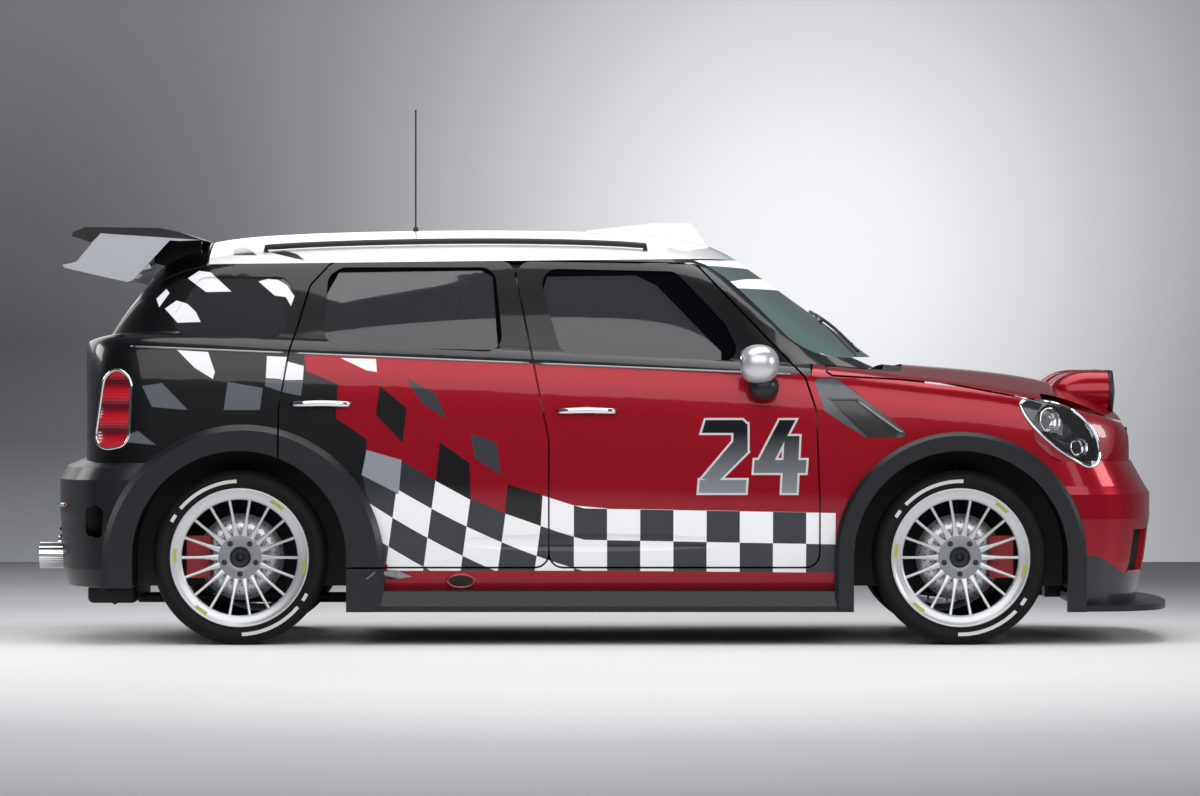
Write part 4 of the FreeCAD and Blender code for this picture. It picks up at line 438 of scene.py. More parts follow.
# The finish of each solid, by how its name starts. The others are red.
LOOKS = (
    (rubber, "tyre_"), (silver, "rim_"), (side_glass, "window_"), (front_glass, "fixed_glass"),
    (rear_glass, "rear_window"), (white_paint, "roof_panel roof_vent"), (dark_paint, "rear_wing tailgate"),
    (red_lens, "tail_lamps"), (satin_dark, "arch_trims rear_bumper front_splitter"), (chrome, "exhaust"),
    (vent_paint, "fender_vents"), (bumper_paint, "front_bumper"), (cage_white, "roll_cage"),
    (seat_shell, "seats"), (side_paint, "side_frame door_"),
    (iron, "headlamps knuckle_ front_suspension rear_suspension engine_block floor_pan"),
    (black_plastic, "roof_rails antenna mirror_ dashboard steering_wheel wheel_houses bulkhead front_grille"),
)
for name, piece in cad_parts.items():
    look = next((mat for mat, starts in LOOKS if name.startswith(tuple(starts.split()))), red_paint)
    piece.data.materials.clear()
    piece.data.materials.append(look)
    for face in piece.data.polygons:
        face.use_smooth = True


def repaint(name, mat, test):
    """Gives another finish to the faces of a solid whose middle passes a test."""
    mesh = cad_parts[name].data
    mesh.materials.append(mat)
    for face in mesh.polygons:
        if test(face.center):
            face.material_index = len(mesh.materials) - 1


FLARE_R, FLARE_X, FLARE_Z = 0.5095, REAR_X + 0.0124, AXLE_Z - 0.0298
WING_END_Y, WING_END_ROW, PIPE_END_X, CALIPER_FROM = 0.643, 263, -1.95, 0.085


def on_flare(place):
    """Whether a point lies within the rear flare's outer edge, seen from the side."""
    ahead, up = place.x - FLARE_X, place.z - FLARE_Z
    return math.hypot(ahead, up) < FLARE_R or (abs(ahead) < FLARE_R and up < 0)


repaint("rear_wing", wing_white, lambda c: abs(c.y) > WING_END_Y or px_row(c) > WING_END_ROW)
repaint("fixed_glass", quarter_glass, lambda c: c.x < 0)
repaint("exhaust", iron, lambda c: c.x > PIPE_END_X)
for side, sign in SIDES:
    repaint("door_rear_" + side, satin_dark, on_flare)
    for end, wheel_x in (("front", FRONT_X), ("rear", REAR_X)):
        repaint(f"knuckle_{end}_{side}", caliper_red, lambda c: abs(c.x - wheel_x) > CALIPER_FROM)


# Shapes. A form is its points and its faces.
def in_scene(name, data):
    """A new object of the scene, with its mesh, light or camera."""
    made = bpy.data.objects.new(name, data)
    scene.collection.objects.link(made)
    return made


def mesh_object(name, form, mat, smooth):
    """An object made of a form in one finish."""
    mesh = bpy.data.meshes.new(name)
    mesh.from_pydata(form[0], [], form[1])
    mesh.materials.append(mat)
    for face in mesh.polygons:
        face.use_smooth = smooth
    return in_scene(name, mesh)


def add_mesh(name, form, mat, body, smooth=True, replaces=None):
    """A mesh piece that rides on a body, and may stand for a solid."""
    made = mesh_object(name, form, mat, smooth)
    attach(made, body)
    if replaces:
        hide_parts(replaces)


def bands(rows, shut=True, wrap=False):
    """Faces between rows of points. Shut rows close on themselves; wrap joins the last row to the first."""
    count, faces = len(rows[0]), []
    for i in range(len(rows) if wrap else len(rows) - 1):
        a, b = i * count, (i + 1) % len(rows) * count
        for k in range(count if shut else count - 1):
            n = (k + 1) % count
            faces.append((a + k, a + n, b + n, b + k))
    return [tuple(p) for row in rows for p in row], faces


def flat_face(points):
    """One face through points."""
    return [tuple(p) for p in points], [tuple(range(len(points)))]


def spread(start, end, count):
    """Even steps from one value to another."""
    return [start + (end - start) * i / (count - 1) for i in range(count)]


def round_points(count):
    """The cosine and sine of even steps round a circle."""
    return [(math.cos(turn), math.sin(turn)) for turn in spread(0, 2 * math.pi, count + 1)[:-1]]


def lathe(profile, segments=96, start=0.0, sweep=2 * math.pi):
    """A profile of (radius, across) turned about the Y axis."""
    closed = sweep > 6.28
    turns = [start + sweep * i / segments for i in range(segments if closed else segments + 1)]
    return bands([[(r * math.cos(t), across, r * math.sin(t)) for r, across in profile] for t in turns],
                 shut=False, wrap=closed)


def joined(forms):
    """Several forms as one."""
    verts, faces = [], []
    for some_verts, some_faces in forms:
        base = len(verts)
        verts += some_verts
        faces += [tuple(base + i for i in face) for face in some_faces]
    return verts, faces


def moved(form, matrix):
    """A form at another place."""
    return [tuple(matrix @ Vector(v)) for v in form[0]], form[1]


def turned(share):
    """A turn about the wheel's axle by a share of the whole round."""
    return Matrix.Rotation(2 * math.pi * share, 4, "Y")


def placed(spot, side):
    """A matrix that sets a form at a place, its outer face to the left for 1 and to the right for -1."""
    return Matrix.Translation(spot) @ Matrix.Scale(side, 4, (0, 1, 0))


def facing_to(spot, aim):
    """A matrix that stands a form turned about the Y axis at a place, looking along a direction."""
    return Matrix.Translation(spot) @ Vector(aim).normalized().to_track_quat("Y", "Z").to_matrix().to_4x4()


def tube(points, radius, sides=10, flat=1.0, closed=False):
    """A round or flattened bar through points."""
    points = [Vector(p) for p in points]
    rows, last = [], len(points) - 1
    for i, spot in enumerate(points):
        before = points[i - 1] if i or closed else spot
        after = points[(i + 1) % len(points)] if i < last or closed else spot
        along = (after - before).normalized()
        up = Vector((0, 1, 0)) if abs(along.y) < 0.9 else Vector((0, 0, 1))
        out = (up - along * up.dot(along)).normalized()
        other = along.cross(out)
        rows.append([spot + out * (c * radius * flat) + other * (s * radius) for c, s in round_points(sides)])
    verts, faces = bands(rows, wrap=closed)
    if not closed:
        faces += [tuple(range(sides))[::-1], tuple(range(last * sides, last * sides + sides))]
    return verts, faces


def blob(middle, half, back=-1.0, power=0.9, rows=24, columns=40):
    """A rounded, slightly boxy form: half sizes along each axis, cut flat at a share of its back."""
    rings = []
    for i in range(rows + 1):
        up = math.pi * (i / rows - 0.5)
        ring = []
        for c, s in round_points(columns):
            ways = (math.cos(up) * c, math.cos(up) * s, math.sin(up))
            ways = [math.copysign(abs(w) ** power, w) for w in ways]
            ways[0] = max(ways[0], back)
            ring.append([m + w * h for m, w, h in zip(middle, ways, half)])
        rings.append(ring)
    return bands(rings)


# Places on the solids, found by rays from outside the car.
trees, OUTSIDE = {}, 3.0


def hit_on(name, start, way):
    """Where a ray from a point first meets a solid, or None."""
    if name not in trees:
        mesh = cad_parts[name].data
        faces = [tuple(face.vertices) for face in mesh.polygons]
        trees[name] = BVHTree.FromPolygons([v.co for v in mesh.vertices], faces)
    return trees[name].ray_cast(Vector(start), Vector(way))[0]


def skin_point(nodes, x, z, side=-1, lift=0.0):
    """The outermost point of some solids at a place of the side view."""
    hits = [hit_on(name, (x, side * OUTSIDE, z), (0, -side, 0)) for name in nodes]
    reach = [side * hit.y for hit in hits if hit]
    return Vector((x, side * (max(reach) + lift), z)) if reach else None


def top_point(name, x, y, lift=0.0):
    """The highest point of a solid at a place seen from above."""
    hit = hit_on(name, (x, y, OUTSIDE), (0, 0, -1))
    return Vector((x, y, hit.z + lift)) if hit else None


def back_point(name, y, z, lift=0.0):
    """A point on a solid's rear skin, found at a place seen from behind."""
    hit = hit_on(name, (-OUTSIDE, y, z), (1, 0, 0))
    return Vector((hit.x - lift, y, z)) if hit else None


def found(points):
    """The points that a ray met."""
    return [p for p in points if p]


def cut_out(name, test):
    """The faces of a solid that pass a test, joined at their corners, and the closed loops round them."""
    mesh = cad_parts[name].data
    known, verts, faces, open_edges = {}, [], [], set()
    for face in mesh.polygons:
        if not test(face.center, face.normal):
            continue
        ring = []
        for i in face.vertices:
            place = tuple(mesh.vertices[i].co)
            tag = tuple(round(c, 5) for c in place)
            if tag not in known:
                known[tag] = len(verts)
                verts.append(place)
            ring.append(known[tag])
        faces.append(tuple(ring))
        for a, b in zip(ring, ring[1:] + ring[:1]):
            if (b, a) in open_edges:
                open_edges.remove((b, a))
            elif a != b:
                open_edges.add((a, b))
    edges = dict(sorted(open_edges))
    loops = []
    while edges:
        loop, spot = [], next(iter(edges))
        while spot in edges:
            loop.append(Vector(verts[spot]))
            spot = edges.pop(spot)
        if sum((b - a).length for a, b in zip(loop, loop[1:])) > 0.2:
            loops.append(loop)
    return (verts, faces), loops


def split_by(form, corners):
    """Cuts a form along a convex outline of (x, z) corners: what lies inside it, and what lies outside."""
    outside = []
    for start, nx, nz in sides_of(corners):
        halves = []
        for keep_outer in (True, False):
            work = bmesh.new()
            made = [work.verts.new(v) for v in form[0]]
            for face in form[1]:
                work.faces.new([made[i] for i in face])
            bmesh.ops.bisect_plane(work, geom=work.verts[:] + work.edges[:] + work.faces[:],
                                   plane_co=(start[0], 0, start[1]), plane_no=(-nx, 0, -nz),
                                   clear_inner=keep_outer, clear_outer=not keep_outer)
            work.verts.index_update()
            halves.append(([tuple(v.co) for v in work.verts],
                           [tuple(v.index for v in f.verts) for f in work.faces]))
            work.free()
        outside.append(halves[0])
        form = halves[1]
    return form, joined(outside)


def evenly(loop, count):
    """Points at even steps along a closed loop, a little smoothed."""
    steps = [(b - a).length for a, b in zip(loop, loop[1:] + loop[:1])]
    total, marks, walked, i = sum(steps), [], 0.0, 0
    for k in range(count):
        want = total * k / count
        while walked + steps[i] < want:
            walked += steps[i]
            i += 1
        a, b = loop[i], loop[(i + 1) % len(loop)]
        marks.append(a + (b - a) * ((want - walked) / max(steps[i], 1e-9)))
    return smoothed(marks)


def smoothed(loop):
    """A closed loop with each point drawn towards its neighbours."""
    return [(loop[k - 1] + p * 2 + loop[(k + 1) % len(loop)]) / 4 for k, p in enumerate(loop)]


# Wheels and tyres. Each form stands about the wheel's own middle, its outer face towards +Y.
WHEELS = (("front_left", FRONT_X, 1), ("front_right", FRONT_X, -1), ("rear_left", REAR_X, 1),
          ("rear_right", REAR_X, -1))
SIDEWALL = [
    (0.2485, 0.098), (0.253, 0.1015), (0.2565, 0.1005), (0.259, 0.1035), (0.268, 0.1085), (0.279, 0.1115),
    (0.287, 0.112), (0.288, 0.1112), (0.2935, 0.1095), (0.3, 0.1045), (0.3052, 0.0965), (0.309, 0.088),
]
TREAD = [
    (0.3128, 0.078), (0.3133, 0.067), (0.3136, 0.056), (0.3075, 0.0555), (0.3075, 0.0505), (0.3138, 0.05),
    (0.3139, 0.04), (0.3139, 0.03), (0.3139, 0.019), (0.3078, 0.0185), (0.3078, 0.0135), (0.3139, 0.013),
]
TREAD_R, TREAD_RIB, GROOVE_DEEP, GROOVE_EVERY, TYRE_STEPS = 0.3127, 0.02, 0.0055, 10, 300
BARREL = [
    (0.25, 0.096), (0.2505, 0.102), (0.249, 0.1045), (0.245, 0.104), (0.24, 0.0985), (0.229, 0.094),
    (0.216, 0.09), (0.21, 0.087), (0.208, 0.08), (0.211, 0.06), (0.22, 0.03), (0.222, -0.095),
    (0.23, -0.102), (0.248, -0.102),
]
HUB = [(0.0372, 0.02), (0.0372, 0.048), (0.04, 0.0505), (0.05, 0.0515), (0.078, 0.0515), (0.086, 0.049),
       (0.09, 0.042), (0.09, 0.02)]
# A spoke's sections: radius, half width, front and back.
SPOKE = ((0.078, 0.0135, 0.052, 0.026), (0.1, 0.0095, 0.058, 0.028), (0.13, 0.0062, 0.066, 0.036),
         (0.17, 0.0052, 0.076, 0.048), (0.205, 0.0056, 0.084, 0.06), (0.222, 0.0085, 0.09, 0.066))
SPOKE_EDGE = 0.003
# Where the marks lie round the wheel, in degrees from the front, upwards.
WHITE_SPANS = ((92, 140), (146, 152), (272, 320), (326, 332))
YELLOW_SPANS = ((48, 61), (172, 184), (228, 240), (-14, -2))
SPOKES, BOLTS, BOLT_CIRCLE = 18, 5, 0.06
HOLES_ROUND, HOLE_ROWS, HOLE_R, DISC_FACE = 36, 3, 0.003, -0.0294


def tyre_form():
    """The tyre's section turned about the axle, with slanted cross grooves in its shoulders and middle."""
    profile = SIDEWALL + TREAD
    profile += [(r, -y) for r, y in reversed(profile)]
    verts, faces = lathe(profile, TYRE_STEPS)
    for i, (x, across, z) in enumerate(verts):
        step, j = divmod(i, len(profile))
        radius = profile[j][0]
        if radius < TREAD_R or abs(across) < TREAD_RIB:
            continue
        if (step + round(abs(across) * 60)) % GROOVE_EVERY == 0:
            share = (radius - GROOVE_DEEP) / radius
            verts[i] = (x * share, across, z * share)
    return verts, faces


def rim_form():
    """The barrel with its lip, and the slim spokes."""
    rows = [[(r, front - SPOKE_EDGE, -half), (r, front, -half * 0.55), (r, front, half * 0.55),
             (r, front - SPOKE_EDGE, half), (r, back, half * 0.7), (r, back, -half * 0.7)]
            for r, half, front, back in SPOKE]
    return joined([lathe(BARREL)] + [moved(bands(rows), turned(i / SPOKES)) for i in range(SPOKES)])


def bolt_form():
    """Five bolts round the hub, and the cap in its middle."""
    bolt = lathe([(0.0105, 0.052), (0.0095, 0.0525), (0.0085, 0.052), (0.007, 0.056), (0.0001, 0.0562)], 12)
    cap = lathe([(0.037, 0.03), (0.03, 0.022), (0.012, 0.022), (0.011, 0.029), (0.0001, 0.0295)], 32)
    return joined([moved(bolt, turned((i + 0.25) / BOLTS) @ Matrix.Translation((BOLT_CIRCLE, 0, 0)))
                   for i in range(BOLTS)] + [cap])


def disc_form():
    """A brake disc inboard of the spokes, on its bell."""
    ring = lathe([(0.092, -0.03), (0.1555, -0.03), (0.156, -0.033), (0.156, -0.057), (0.092, -0.057)], 72)
    return joined([ring, lathe([(0.092, -0.03), (0.088, 0.004), (0.082, 0.01), (0.04, 0.01)], 48)])


def drill_form():
    """The disc's drilled holes, in three slanted rows: flat dark faces whose darkness is painted shade for
    the insides of the holes, as no hole is cut.
    """
    hole = flat_face([(HOLE_R * c, DISC_FACE, HOLE_R * s) for c, s in round_points(6)])
    return joined([moved(hole, turned((i + row * 0.33) / HOLES_ROUND)
                         @ Matrix.Translation((0.104 + 0.02 * row, 0, 0)))
                   for i in range(HOLES_ROUND) for row in range(HOLE_ROWS)])


def mark_arcs(spans, lead, inner, outer):
    """Short arcs on a ring, as thin strips."""
    return joined([lathe([inner, outer], max(3, int((end - start) / 3)), math.radians(start + lead),
                         math.radians(end - start)) for start, end in spans])


tyre, rim, hub = tyre_form(), rim_form(), lathe(HUB, 72)
# The drilled holes are flat dark faces: painted shade for their insides.
bolts, disc, hole_shades = bolt_form(), disc_form(), drill_form()
for name, wheel_x, side in WHEELS:
    lead = 0 if "rear" in name else -4
    white = mark_arcs(WHITE_SPANS, lead, (0.269, 0.1106), (0.2815, 0.1136))
    yellow = mark_arcs(YELLOW_SPANS, lead, (0.2275, 0.0945), (0.244, 0.1))
    for start, form, mat, slot, node_start in (
            ("tyre_detail_", tyre, rubber, "tyre_rubber", "tyre_"),
            ("wheel_detail_", rim, silver, "wheel_metal", "rim_"),
            ("hub_detail_", hub, hub_grey, "wheel_metal", None),
            ("wheel_bolts_", bolts, iron, "wheel_metal", None),
            ("brake_disc_", disc, steel, "wheel_metal", None),
            ("disc_holes_", hole_shades, iron, "wheel_metal", None),
            ("tyre_marks_", white, white_mark, "tyre_rubber", None),
            ("rim_marks_", yellow, yellow_mark, "wheel_metal", None)):
        add_mesh(start + name, moved(form, placed((wheel_x, side * TRACK_HALF, AXLE_Z), side)), mat,
                 "wheel_" + name, replaces=node_start and node_start + name)

# The belt line's two ends in the side view, and the columns of its strips on each piece.
BELT_START, BELT_END = (124, 346.0), (832, 376.0)
STRIPS = (("side_frame_{}", "chassis", 130, 283), ("door_rear_{}", "rear_door_{}", 291, 529),
          ("door_front_{}", "front_door_{}", 537, 803))
HANDLES = (("door_front_{}", "front_door_{}", 587.5, 411.5, red_cup),
           ("door_rear_{}", "rear_door_{}", 321.5, 404.5, black_plastic))
GRIP_HALF, GRIP_RISE, GRIP_BOW = 0.108, 0.03, 0.004


def belt_strip(part, body, start, end, sign):
    """A slim bright strip along the belt of one piece."""
    points = []
    for column in spread(start, end, 25):
        share = (column - BELT_START[0]) / (BELT_END[0] - BELT_START[0])
        row = BELT_START[1] + (BELT_END[1] - BELT_START[1]) * share
        points.append(skin_point([part], *px(column, row), sign, 0.001))
    add_mesh("belt_strip_" + part, tube(found(points), 0.004, 8), trim_metal, body)


def door_handle(part, body, column, row, cup_mat, sign):
    """A chrome bar that bows out over a shallow round cup."""
    x, z = px(column, row)
    grip = []
    for share in spread(-1, 1, 17):
        skin = skin_point([part], x + share * GRIP_HALF, z, sign)
        rise = GRIP_RISE * (1 - share ** 4) + GRIP_BOW
        grip.append((x + share * GRIP_HALF, skin.y + sign * rise, z + GRIP_BOW * (1 - share * share)))
    add_mesh("handle_" + part, tube(grip, 0.0105, 12, 0.55), chrome, body)
    cup = lathe([(0.0001, -0.002), (0.03, -0.001), (0.034, 0.0015), (0.036, 0.0005)], 32)
    spot = (x, skin_point([part], x, z, sign).y, z - 0.016)
    add_mesh("handle_cup_" + part, moved(cup, placed(spot, sign)), cup_mat, body)


for side, sign in SIDES:
    for part, body, start, end in STRIPS:
        belt_strip(part.format(side), body.format(side), start, end, sign)
    for part, body, column, row, cup_mat in HANDLES:
        door_handle(part.format(side), body.format(side), column, row, cup_mat, sign)

# Headlamps: a long clear lens over a bowl with two round reflectors, in a chrome ring with red skin round it.
LAMP_SKIN = ("front_fenders", "front_bumper")
LAMP_NODES = ("headlamps",) + LAMP_SKIN
LAMP_CORNERS = [px(x, y) for x, y in LAMP_OUTLINE]
LAMP_FRONT = 0.1
BOWL_RINGS = ((0.97, 0.004), (0.93, 0.03), (0.82, 0.055), (0.45, 0.07), (0.02, 0.074))
REFLECTORS = ((1053, 420, 0.042), (1082, 447, 0.034))
REFLECTOR_DEEP = 0.04
lenses, skins, rings, bowls, cones = [], [], [], [], []
for sign in (1, -1):
    look = Vector((0.55, 0.8 * sign, 0.15)).normalized()
    faced = cut_out("headlamps", lambda c, n: c.y * sign > 0 and n.dot(look) > LAMP_FRONT)[0]
    lens, skin = split_by(faced, LAMP_CORNERS)
    turned_away = cut_out("headlamps", lambda c, n: (c.y * sign > 0 and n.z > -0.3
                                                     and n.dot(look) <= LAMP_FRONT))[0]
    lenses.append(lens)
    skins += [skin, turned_away]
    for name in LAMP_SKIN:
        near = cut_out(name, lambda c, n: (c.y * sign > 0.3 and n.y * sign > 0.1
                                           and 1.35 < c.x < 1.95 and 0.5 < c.z < 1))[0]
        if near[1]:
            lenses.append(moved(split_by(near, LAMP_CORNERS)[0], Matrix.Translation((0, sign * 0.0015, 0))))
    outline = evenly([Vector((x, 0, z)) for x, z in LAMP_CORNERS], 72)
    rim_line = found(skin_point(LAMP_NODES + ("bonnet",), p.x, p.z, sign, 0.002) for p in outline)
    for _ in range(3):
        rim_line = smoothed(rim_line)
    rings.append(tube(rim_line, 0.0065, 10, closed=True))
    middle = sum(rim_line, Vector()) / len(rim_line)
    bowls.append(bands([[middle + (p - middle) * size - look * back for p in rim_line]
                        for size, back in BOWL_RINGS]))
    for column, row, size in REFLECTORS:
        place = facing_to(skin_point(LAMP_NODES, *px(column, row), sign) - look * REFLECTOR_DEEP, look)
        cone = lathe([(size, 0.03), (size * 1.06, 0.034), (size * 1.1, 0.028), (size * 1.06, 0.0),
                      (size, 0.024), (size * 0.8, 0.006), (size * 0.45, -0.004), (0.0001, -0.006)], 48)
        bulb = lathe([(size * 0.42, 0.0), (size * 0.4, 0.012), (size * 0.28, 0.022), (0.0001, 0.027)], 32)
        cones.append(moved(cone, place))
        bowls.append(moved(bulb, place))
add_mesh("headlamp_lenses", joined(lenses), clear_lens, "chassis", replaces="headlamps")
add_mesh("headlamp_surrounds", joined(skins), red_cup, "chassis", replaces="headlamps")
add_mesh("headlamp_rings", joined(rings), chrome, "chassis")
add_mesh("headlamp_bowls", joined(bowls), lamp_bowl, "chassis")
add_mesh("headlamp_reflectors", joined(cones), chrome, "chassis")

# Tail lamps: a chrome ring round each red lens.
rings = []
for sign in (1, -1):
    loops = cut_out("tail_lamps", lambda c, n: c.y * sign > 0 and n.y * sign > 0.25)[1]
    rings.append(tube(evenly(max(loops, key=len), 72), 0.0055, 10, closed=True))
add_mesh("tail_lamp_rings", joined(rings), chrome, "chassis")

# Bonnet lamps: a bezel and a ribbed clear lens in front of each.
POD_X, POD_Z = px(1087, 392, 1.02)
# A pod's radius and length, and the shares of them where its lens sits.
POD_WIDE, POD_LONG, LENS_WIDE, LENS_LONG = 0.092, 0.095 * 1.15, 0.87, 0.792
POD_R, POD_FRONT = LENS_WIDE * POD_WIDE, POD_X + LENS_LONG * POD_LONG
bezels, pod_lenses = [], []
for y in (0.174, -0.174, 0.3654, -0.3654):
    place = facing_to((POD_FRONT, y, POD_Z), (1, 0, 0))
    bezels.append(moved(lathe([(POD_R * 0.86, 0.004), (POD_R * 0.9, 0.009), (POD_R * 0.98, 0.008),
                               (POD_R * 1.01, 0.001), (POD_R * 1.01, -0.008)], 48), place))
    pod_lenses.append(moved(lathe([(POD_R * 0.88, 0.004), (POD_R * 0.6, 0.012), (POD_R * 0.3, 0.016),
                                   (0.0001, 0.0175)], 48), place))
add_mesh("pod_bezels", joined(bezels), black_plastic, "bonnet_lid")
add_mesh("pod_lenses", joined(pod_lenses), pod_glass, "bonnet_lid")

# Mirrors: a rounded silver cap over a dark foot, with the glass facing back.
CAP_X, CAP_Y, CAP_Z, CAP_HALF, CAP_BACK = 0.548, 0.982, 1.011, (0.074, 0.08, 0.07), 0.86
STEM = ((0.566, 0.95, 0.925), (0.572, 0.905, 0.915), (0.575, 0.862, 0.912))
for side, sign in SIDES:
    body, node_name = "front_door_" + side, "mirror_" + side
    cap = blob((CAP_X, sign * CAP_Y, CAP_Z), CAP_HALF, -CAP_BACK)
    stem = tube([(x, sign * y, z) for x, y, z in STEM], 0.026)
    foot = joined([blob((0.566, sign * 0.945, 0.93), (0.056, 0.06, 0.048)), stem])
    glass_at = (CAP_X - CAP_HALF[0] * CAP_BACK - 0.0006, sign * CAP_Y, CAP_Z)
    glass = moved(lathe([(0.0001, 0.0), (0.058, 0.0), (0.06, -0.002)], 40), facing_to(glass_at, (-1, 0, 0)))
    add_mesh("mirror_cap_" + side, cap, mirror_cap, body, replaces=node_name)
    add_mesh("mirror_foot_" + side, foot, satin_dark, body, replaces=node_name)
    add_mesh("mirror_glass_" + side, glass, mirror_face, body, smooth=False)

# Roof rails: slim black bars that rise from a foot at each end.
RAIL_BACK, RAIL_FRONT, RAIL_Y, RAIL_R, FOOT_DROP = -1.236, 0.144, 0.553, 0.0105, Vector((0, 0, 0.016))
rails = []
for sign in (1, -1):
    points = [top_point("roof_rails", x, sign * RAIL_Y, -0.01) for x in spread(RAIL_BACK, RAIL_FRONT, 41)]
    points = found(points)
    rails.append(tube([points[0] - FOOT_DROP] + points + [points[-1] - FOOT_DROP], RAIL_R, 12))
add_mesh("rail_bars", joined(rails), black_plastic, "chassis", replaces="roof_rails")


def nose_x(y, z):
    """How far forward the front bumper reaches at a place seen from the front."""
    hits = found(hit_on("front_bumper", (OUTSIDE, y, z + rise), (-1, 0, 0)) for rise in (0, -0.03, 0.03))
    return max([hit.x for hit in hits], default=1.87)


# A bright strip in each wing vent, and dark ducts behind the bumper's side openings.
VENT_NODES, STRIP_COLUMNS, STRIP_ROWS = ("fender_vents", "front_fenders"), (857, 903), (400, 433)
DUCT_BACK, DUCT_FRONT, DUCT_INNER, DUCT_OUTER, DUCT_FLOOR, DUCT_TOP = 1.76, 2.0, 0.516, 0.719, 0.255, 0.42
strips, ducts = [], []
for sign in (1, -1):
    places = [px(x, y) for x, y in zip(spread(*STRIP_COLUMNS, 13), spread(*STRIP_ROWS, 13))]
    strips.append(tube([skin_point(VENT_NODES, x, z, sign, 0.0015) for x, z in places], 0.0055, 8))
    inner, outer = sorted((sign * DUCT_INNER, sign * DUCT_OUTER))
    section = ((inner, DUCT_FLOOR), (outer, DUCT_FLOOR), (outer, DUCT_TOP), (inner, DUCT_TOP))
    verts = [(min(x, nose_x(y, z) - 0.004), y, z) for x in (DUCT_BACK, DUCT_FRONT) for y, z in section]
    ducts.append((verts, [(0, 1, 2, 3), (0, 4, 5, 1), (1, 5, 6, 2), (2, 6, 7, 3), (3, 7, 4, 0)]))
add_mesh("vent_strips", joined(strips), trim_metal, "chassis")
add_mesh("bumper_ducts", joined(ducts), black_plastic, "chassis", smooth=False)

# Sill details: an oval opening with a raised rim, and a bright pointed blade behind it. The opening is a flat
# black face: painted shade that stands for the dark inside of the hole.
BLADE = ((366, 579), (374, 572), (385, 567), (398, 571), (412, 577), (398, 579))
SLOT_X, SLOT_Y, SLOT_LONG, SLOT_TALL = 461, 581.5, 13.5, 6.5
slot_shades, rims, blades = [], [], []
for side, sign in SIDES:
    nodes = ("side_frame_" + side, "arch_trims", "door_rear_" + side)
    loop = found(skin_point(nodes, *px(SLOT_X + SLOT_LONG * c, SLOT_Y + SLOT_TALL * s), sign, 0.002)
                 for c, s in round_points(40))
    # Painted shade: a flat black face stands for the dark inside of the opening.
    slot_shades.append(flat_face(loop))
    rims.append(tube(loop, 0.006, 8, closed=True))
    blade = found(skin_point(nodes, *px(x, y), sign, 0.006) for x, y in BLADE)
    back = [p - Vector((0, sign * 0.005, 0)) for p in blade]
    verts, faces = bands([blade, back])
    count = len(blade)
    blades.append((verts, [tuple(range(count)), tuple(range(count, 2 * count))[::-1]] + faces))
# The black face of each opening is painted shade.
add_mesh("sill_slots", joined(slot_shades), black_plastic, "chassis", smooth=False)
add_mesh("sill_slot_rims", joined(rims), red_cup, "chassis")
add_mesh("sill_blades", joined(blades), trim_metal, "chassis", smooth=False)


def laid_on(nodes, x, y, lift):
    """A point that rests on the highest of some solids, or None."""
    heights = [p.z for p in found(top_point(name, x, y) for name in nodes)]
    return (x, y, max(heights) + lift) if heights else None


# Wipers: two dark arms with their blades, lying on the windscreen's foot.
WINDSCREEN_EDGE, ARM_X, BLADE_X, BLADE_INNER, BLADE_OUTER = 0.66, (0.925, 0.765), (0.8, 0.78), 0.3, 0.2
wipers = []
for y_root, y_tip in ((-0.42, 0.1), (0.2, 0.62)):
    arm = found(laid_on(("fixed_glass", "bulkhead", "bonnet"), x, y, 0.012)
                for x, y in zip(spread(*ARM_X, 9), spread(y_root, y_tip, 9)))
    across = spread(y_tip - BLADE_INNER, y_tip + BLADE_OUTER, 13)
    blade = found(laid_on(("fixed_glass", "bonnet"), x, y, 0.008)
                  for x, y in zip(spread(*BLADE_X, 13), across) if abs(y) < WINDSCREEN_EDGE)
    wipers += [tube(arm, 0.006, 8), tube(blade, 0.005, 8)]
add_mesh("wipers", joined(wipers), black_plastic, "chassis")


def rear_bar(name, middle, half, height, lift, radius, flat=1.0):
    """A level bar along a solid's rear skin."""
    points = found(back_point(name, y, height, lift) for y in spread(middle - half, middle + half, 25))
    return tube(points, radius, 12, flat)


# Tail details: the tailgate's grip over a plain dark plate, and reflectors and slats on the bumper.
PLATE_HALF, PLATE_TALL, PLATE_Z, PLATE_ROUND = 0.26, 0.058, 0.8, 0.25
SLATS, SLAT_FOOT, SLAT_STEP = 5, 0.3, 0.026
border = []
for ways in round_points(64):
    across, up = [math.copysign(abs(way) ** PLATE_ROUND, way) for way in ways]
    border.append(back_point("tailgate", across * PLATE_HALF, PLATE_Z + up * PLATE_TALL, 0.004))
border = found(border)
add_mesh("tailgate_plate", flat_face(border), iron, "tailgate_lid", smooth=False)
add_mesh("tailgate_plate_rim", tube(border, 0.005, 8, closed=True), black_plastic, "tailgate_lid")
add_mesh("tailgate_grip", rear_bar("tailgate", 0.0, 0.22, 0.905, 0.008, 0.013, 0.7), chrome, "tailgate_lid")
reflectors = [rear_bar("rear_bumper", sign * 0.6, 0.085, 0.5, 0.002, 0.013, 0.6) for sign in (1, -1)]
add_mesh("rear_reflectors", joined(reflectors), red_lens, "chassis")
slats = [rear_bar("rear_bumper", 0.0, 0.3, SLAT_FOOT + SLAT_STEP * i, 0.002, 0.006) for i in range(SLATS)]
add_mesh("rear_bumper_slats", joined(slats), black_plastic, "chassis")


# Floor, backdrop, light and camera.
def ramp(mat, factor, stops):
    """Colours at places from zero to one, with even changes between."""
    made = node(mat, "ValToRGB", (factor,))
    band = made.node.color_ramp
    while len(band.elements) < len(stops):
        band.elements.new(0.5)
    for stop, (place, tone) in zip(band.elements, stops):
        stop.position, stop.color = place, colour(tone)
    return made
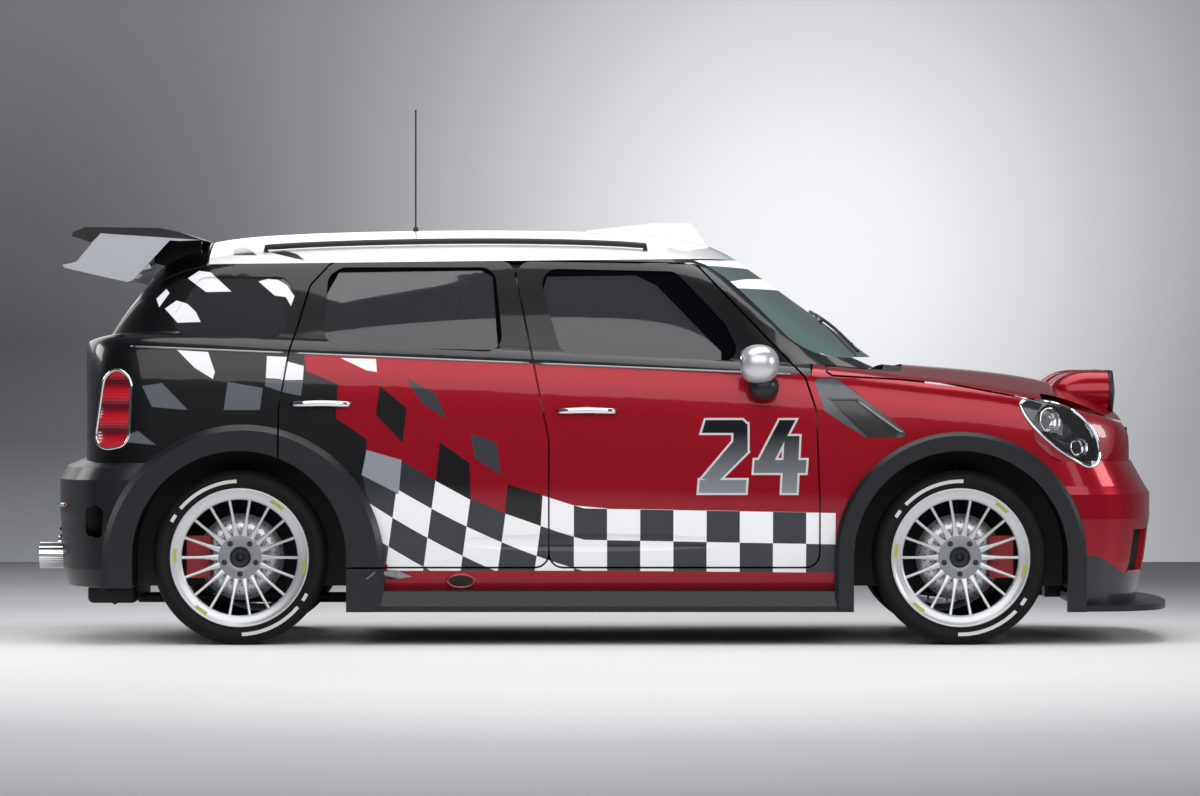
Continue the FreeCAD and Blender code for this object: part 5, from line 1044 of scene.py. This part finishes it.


# The floor: pale, with a painted pool of light that is brightest round the car and fades to grey far from it.
# It is longer than the car's oval.
FLOOR_CORNERS = [(-14, -14, 0), (14, -14, 0), (14, 9, 0), (-14, 9, 0)]
floor_mat, shader = material("studio_floor", Roughness=0.6)
oval = node(floor_mat, "VectorMath MULTIPLY", (node(floor_mat, "TexCoord", out="Object"), (1.5, 1.0, 1.0)))
away = node(floor_mat, "VectorMath DISTANCE", (oval, (0.0, -1.6, 0.0)), "Value")
# Painted light: the floor's colour is palest near the car and darkens with distance, standing in for a pool
# of light.
share = node(floor_mat, "MapRange", {"Value": away, "From Min": 2.6, "From Max": 8.6})
link(shader, "Base Color", ramp(floor_mat, share, [
    (0.0, "#EFEFF0"), (0.22, "#E2E3E4"), (0.5, "#B6B7BA"), (1.0, "#85868A")]))
floor = mesh_object("studio_floor", (FLOOR_CORNERS, [(0, 1, 2, 3)]), floor_mat, False)

# The room: dark grey, paler at the floor's edge, with a soft glow on the far wall.
GLOW_WAY, GLOW_TIGHT = Vector((0.031, 1.0, 0.014)).normalized(), 640.0
world = bpy.data.worlds.new("studio")
scene.world = world
world.use_nodes = True
way = node(world, "TexCoord", out="Generated")
axes = node(world, "SeparateXYZ", (way,)).node.outputs
lift = node(world, "MapRange", {"Value": axes["Z"], "From Min": -0.032, "From Max": 0.048})
wall = ramp(world, lift, [(0.0, "#85888A"), (0.24, "#56585C"), (0.42, "#4A4C50"), (1.0, "#6E7074")])
near = node(world, "VectorMath DOT_PRODUCT", (way, tuple(GLOW_WAY)), "Value")
fall = node(world, "Math MULTIPLY_ADD", (near, GLOW_TIGHT, -GLOW_TIGHT))
glow = node(world, "Math EXPONENT", (fall,))
front = node(world, "MapRange", {"Value": axes["Y"], "From Min": -0.3, "From Max": 0.6})
wall = paint_over(world, colour("#46484C"), wall, front)
link(world.node_tree.nodes["Background"], "Color", paint_over(world, wall, colour("#F6F8FB"), glow))

# Soft boxes: name, place, what it is aimed at, size in metres and power in watts.
SOFT_BOXES = (
    ("top_box", (0.4, -0.6, 5.0), (0, 0, 0.5), (6.0, 3.0), 190),
    ("side_box", (0.6, -9.5, 5.6), (0, -0.8, 0.7), (14.0, 7.0), 740),
    ("front_box", (7.5, -2.5, 2.8), (1.5, 0, 0.7), (3.0, 2.0), 160),
    ("rear_box", (-8.0, 2.0, 3.4), (-1.6, 0, 0.7), (4.0, 2.5), 220),
    ("far_box", (-3.5, 7.5, 4.2), (-0.5, 0, 0.8), (9.0, 5.0), 200),
)
for name, place, aim, size, power in SOFT_BOXES:
    data = bpy.data.lights.new(name, "AREA")
    data.shape, data.energy = "RECTANGLE", power
    data.size, data.size_y = size
    lamp = in_scene(name, data)
    lamp.location = place
    lamp.rotation_euler = (Vector(aim) - Vector(place)).to_track_quat("-Z", "Y").to_euler()

view_data = bpy.data.cameras.new("side_view")
view_data.sensor_width, view_data.lens = 36.0, 207.0
view_data.shift_y = -45.0 / 1200
camera = in_scene("side_view", view_data)
camera.location = (EYE_X, EYE_Y, EYE_Z)
camera.rotation_euler = (math.pi / 2, 0, 0)
scene.camera = camera
scene.view_settings.view_transform = "Standard"
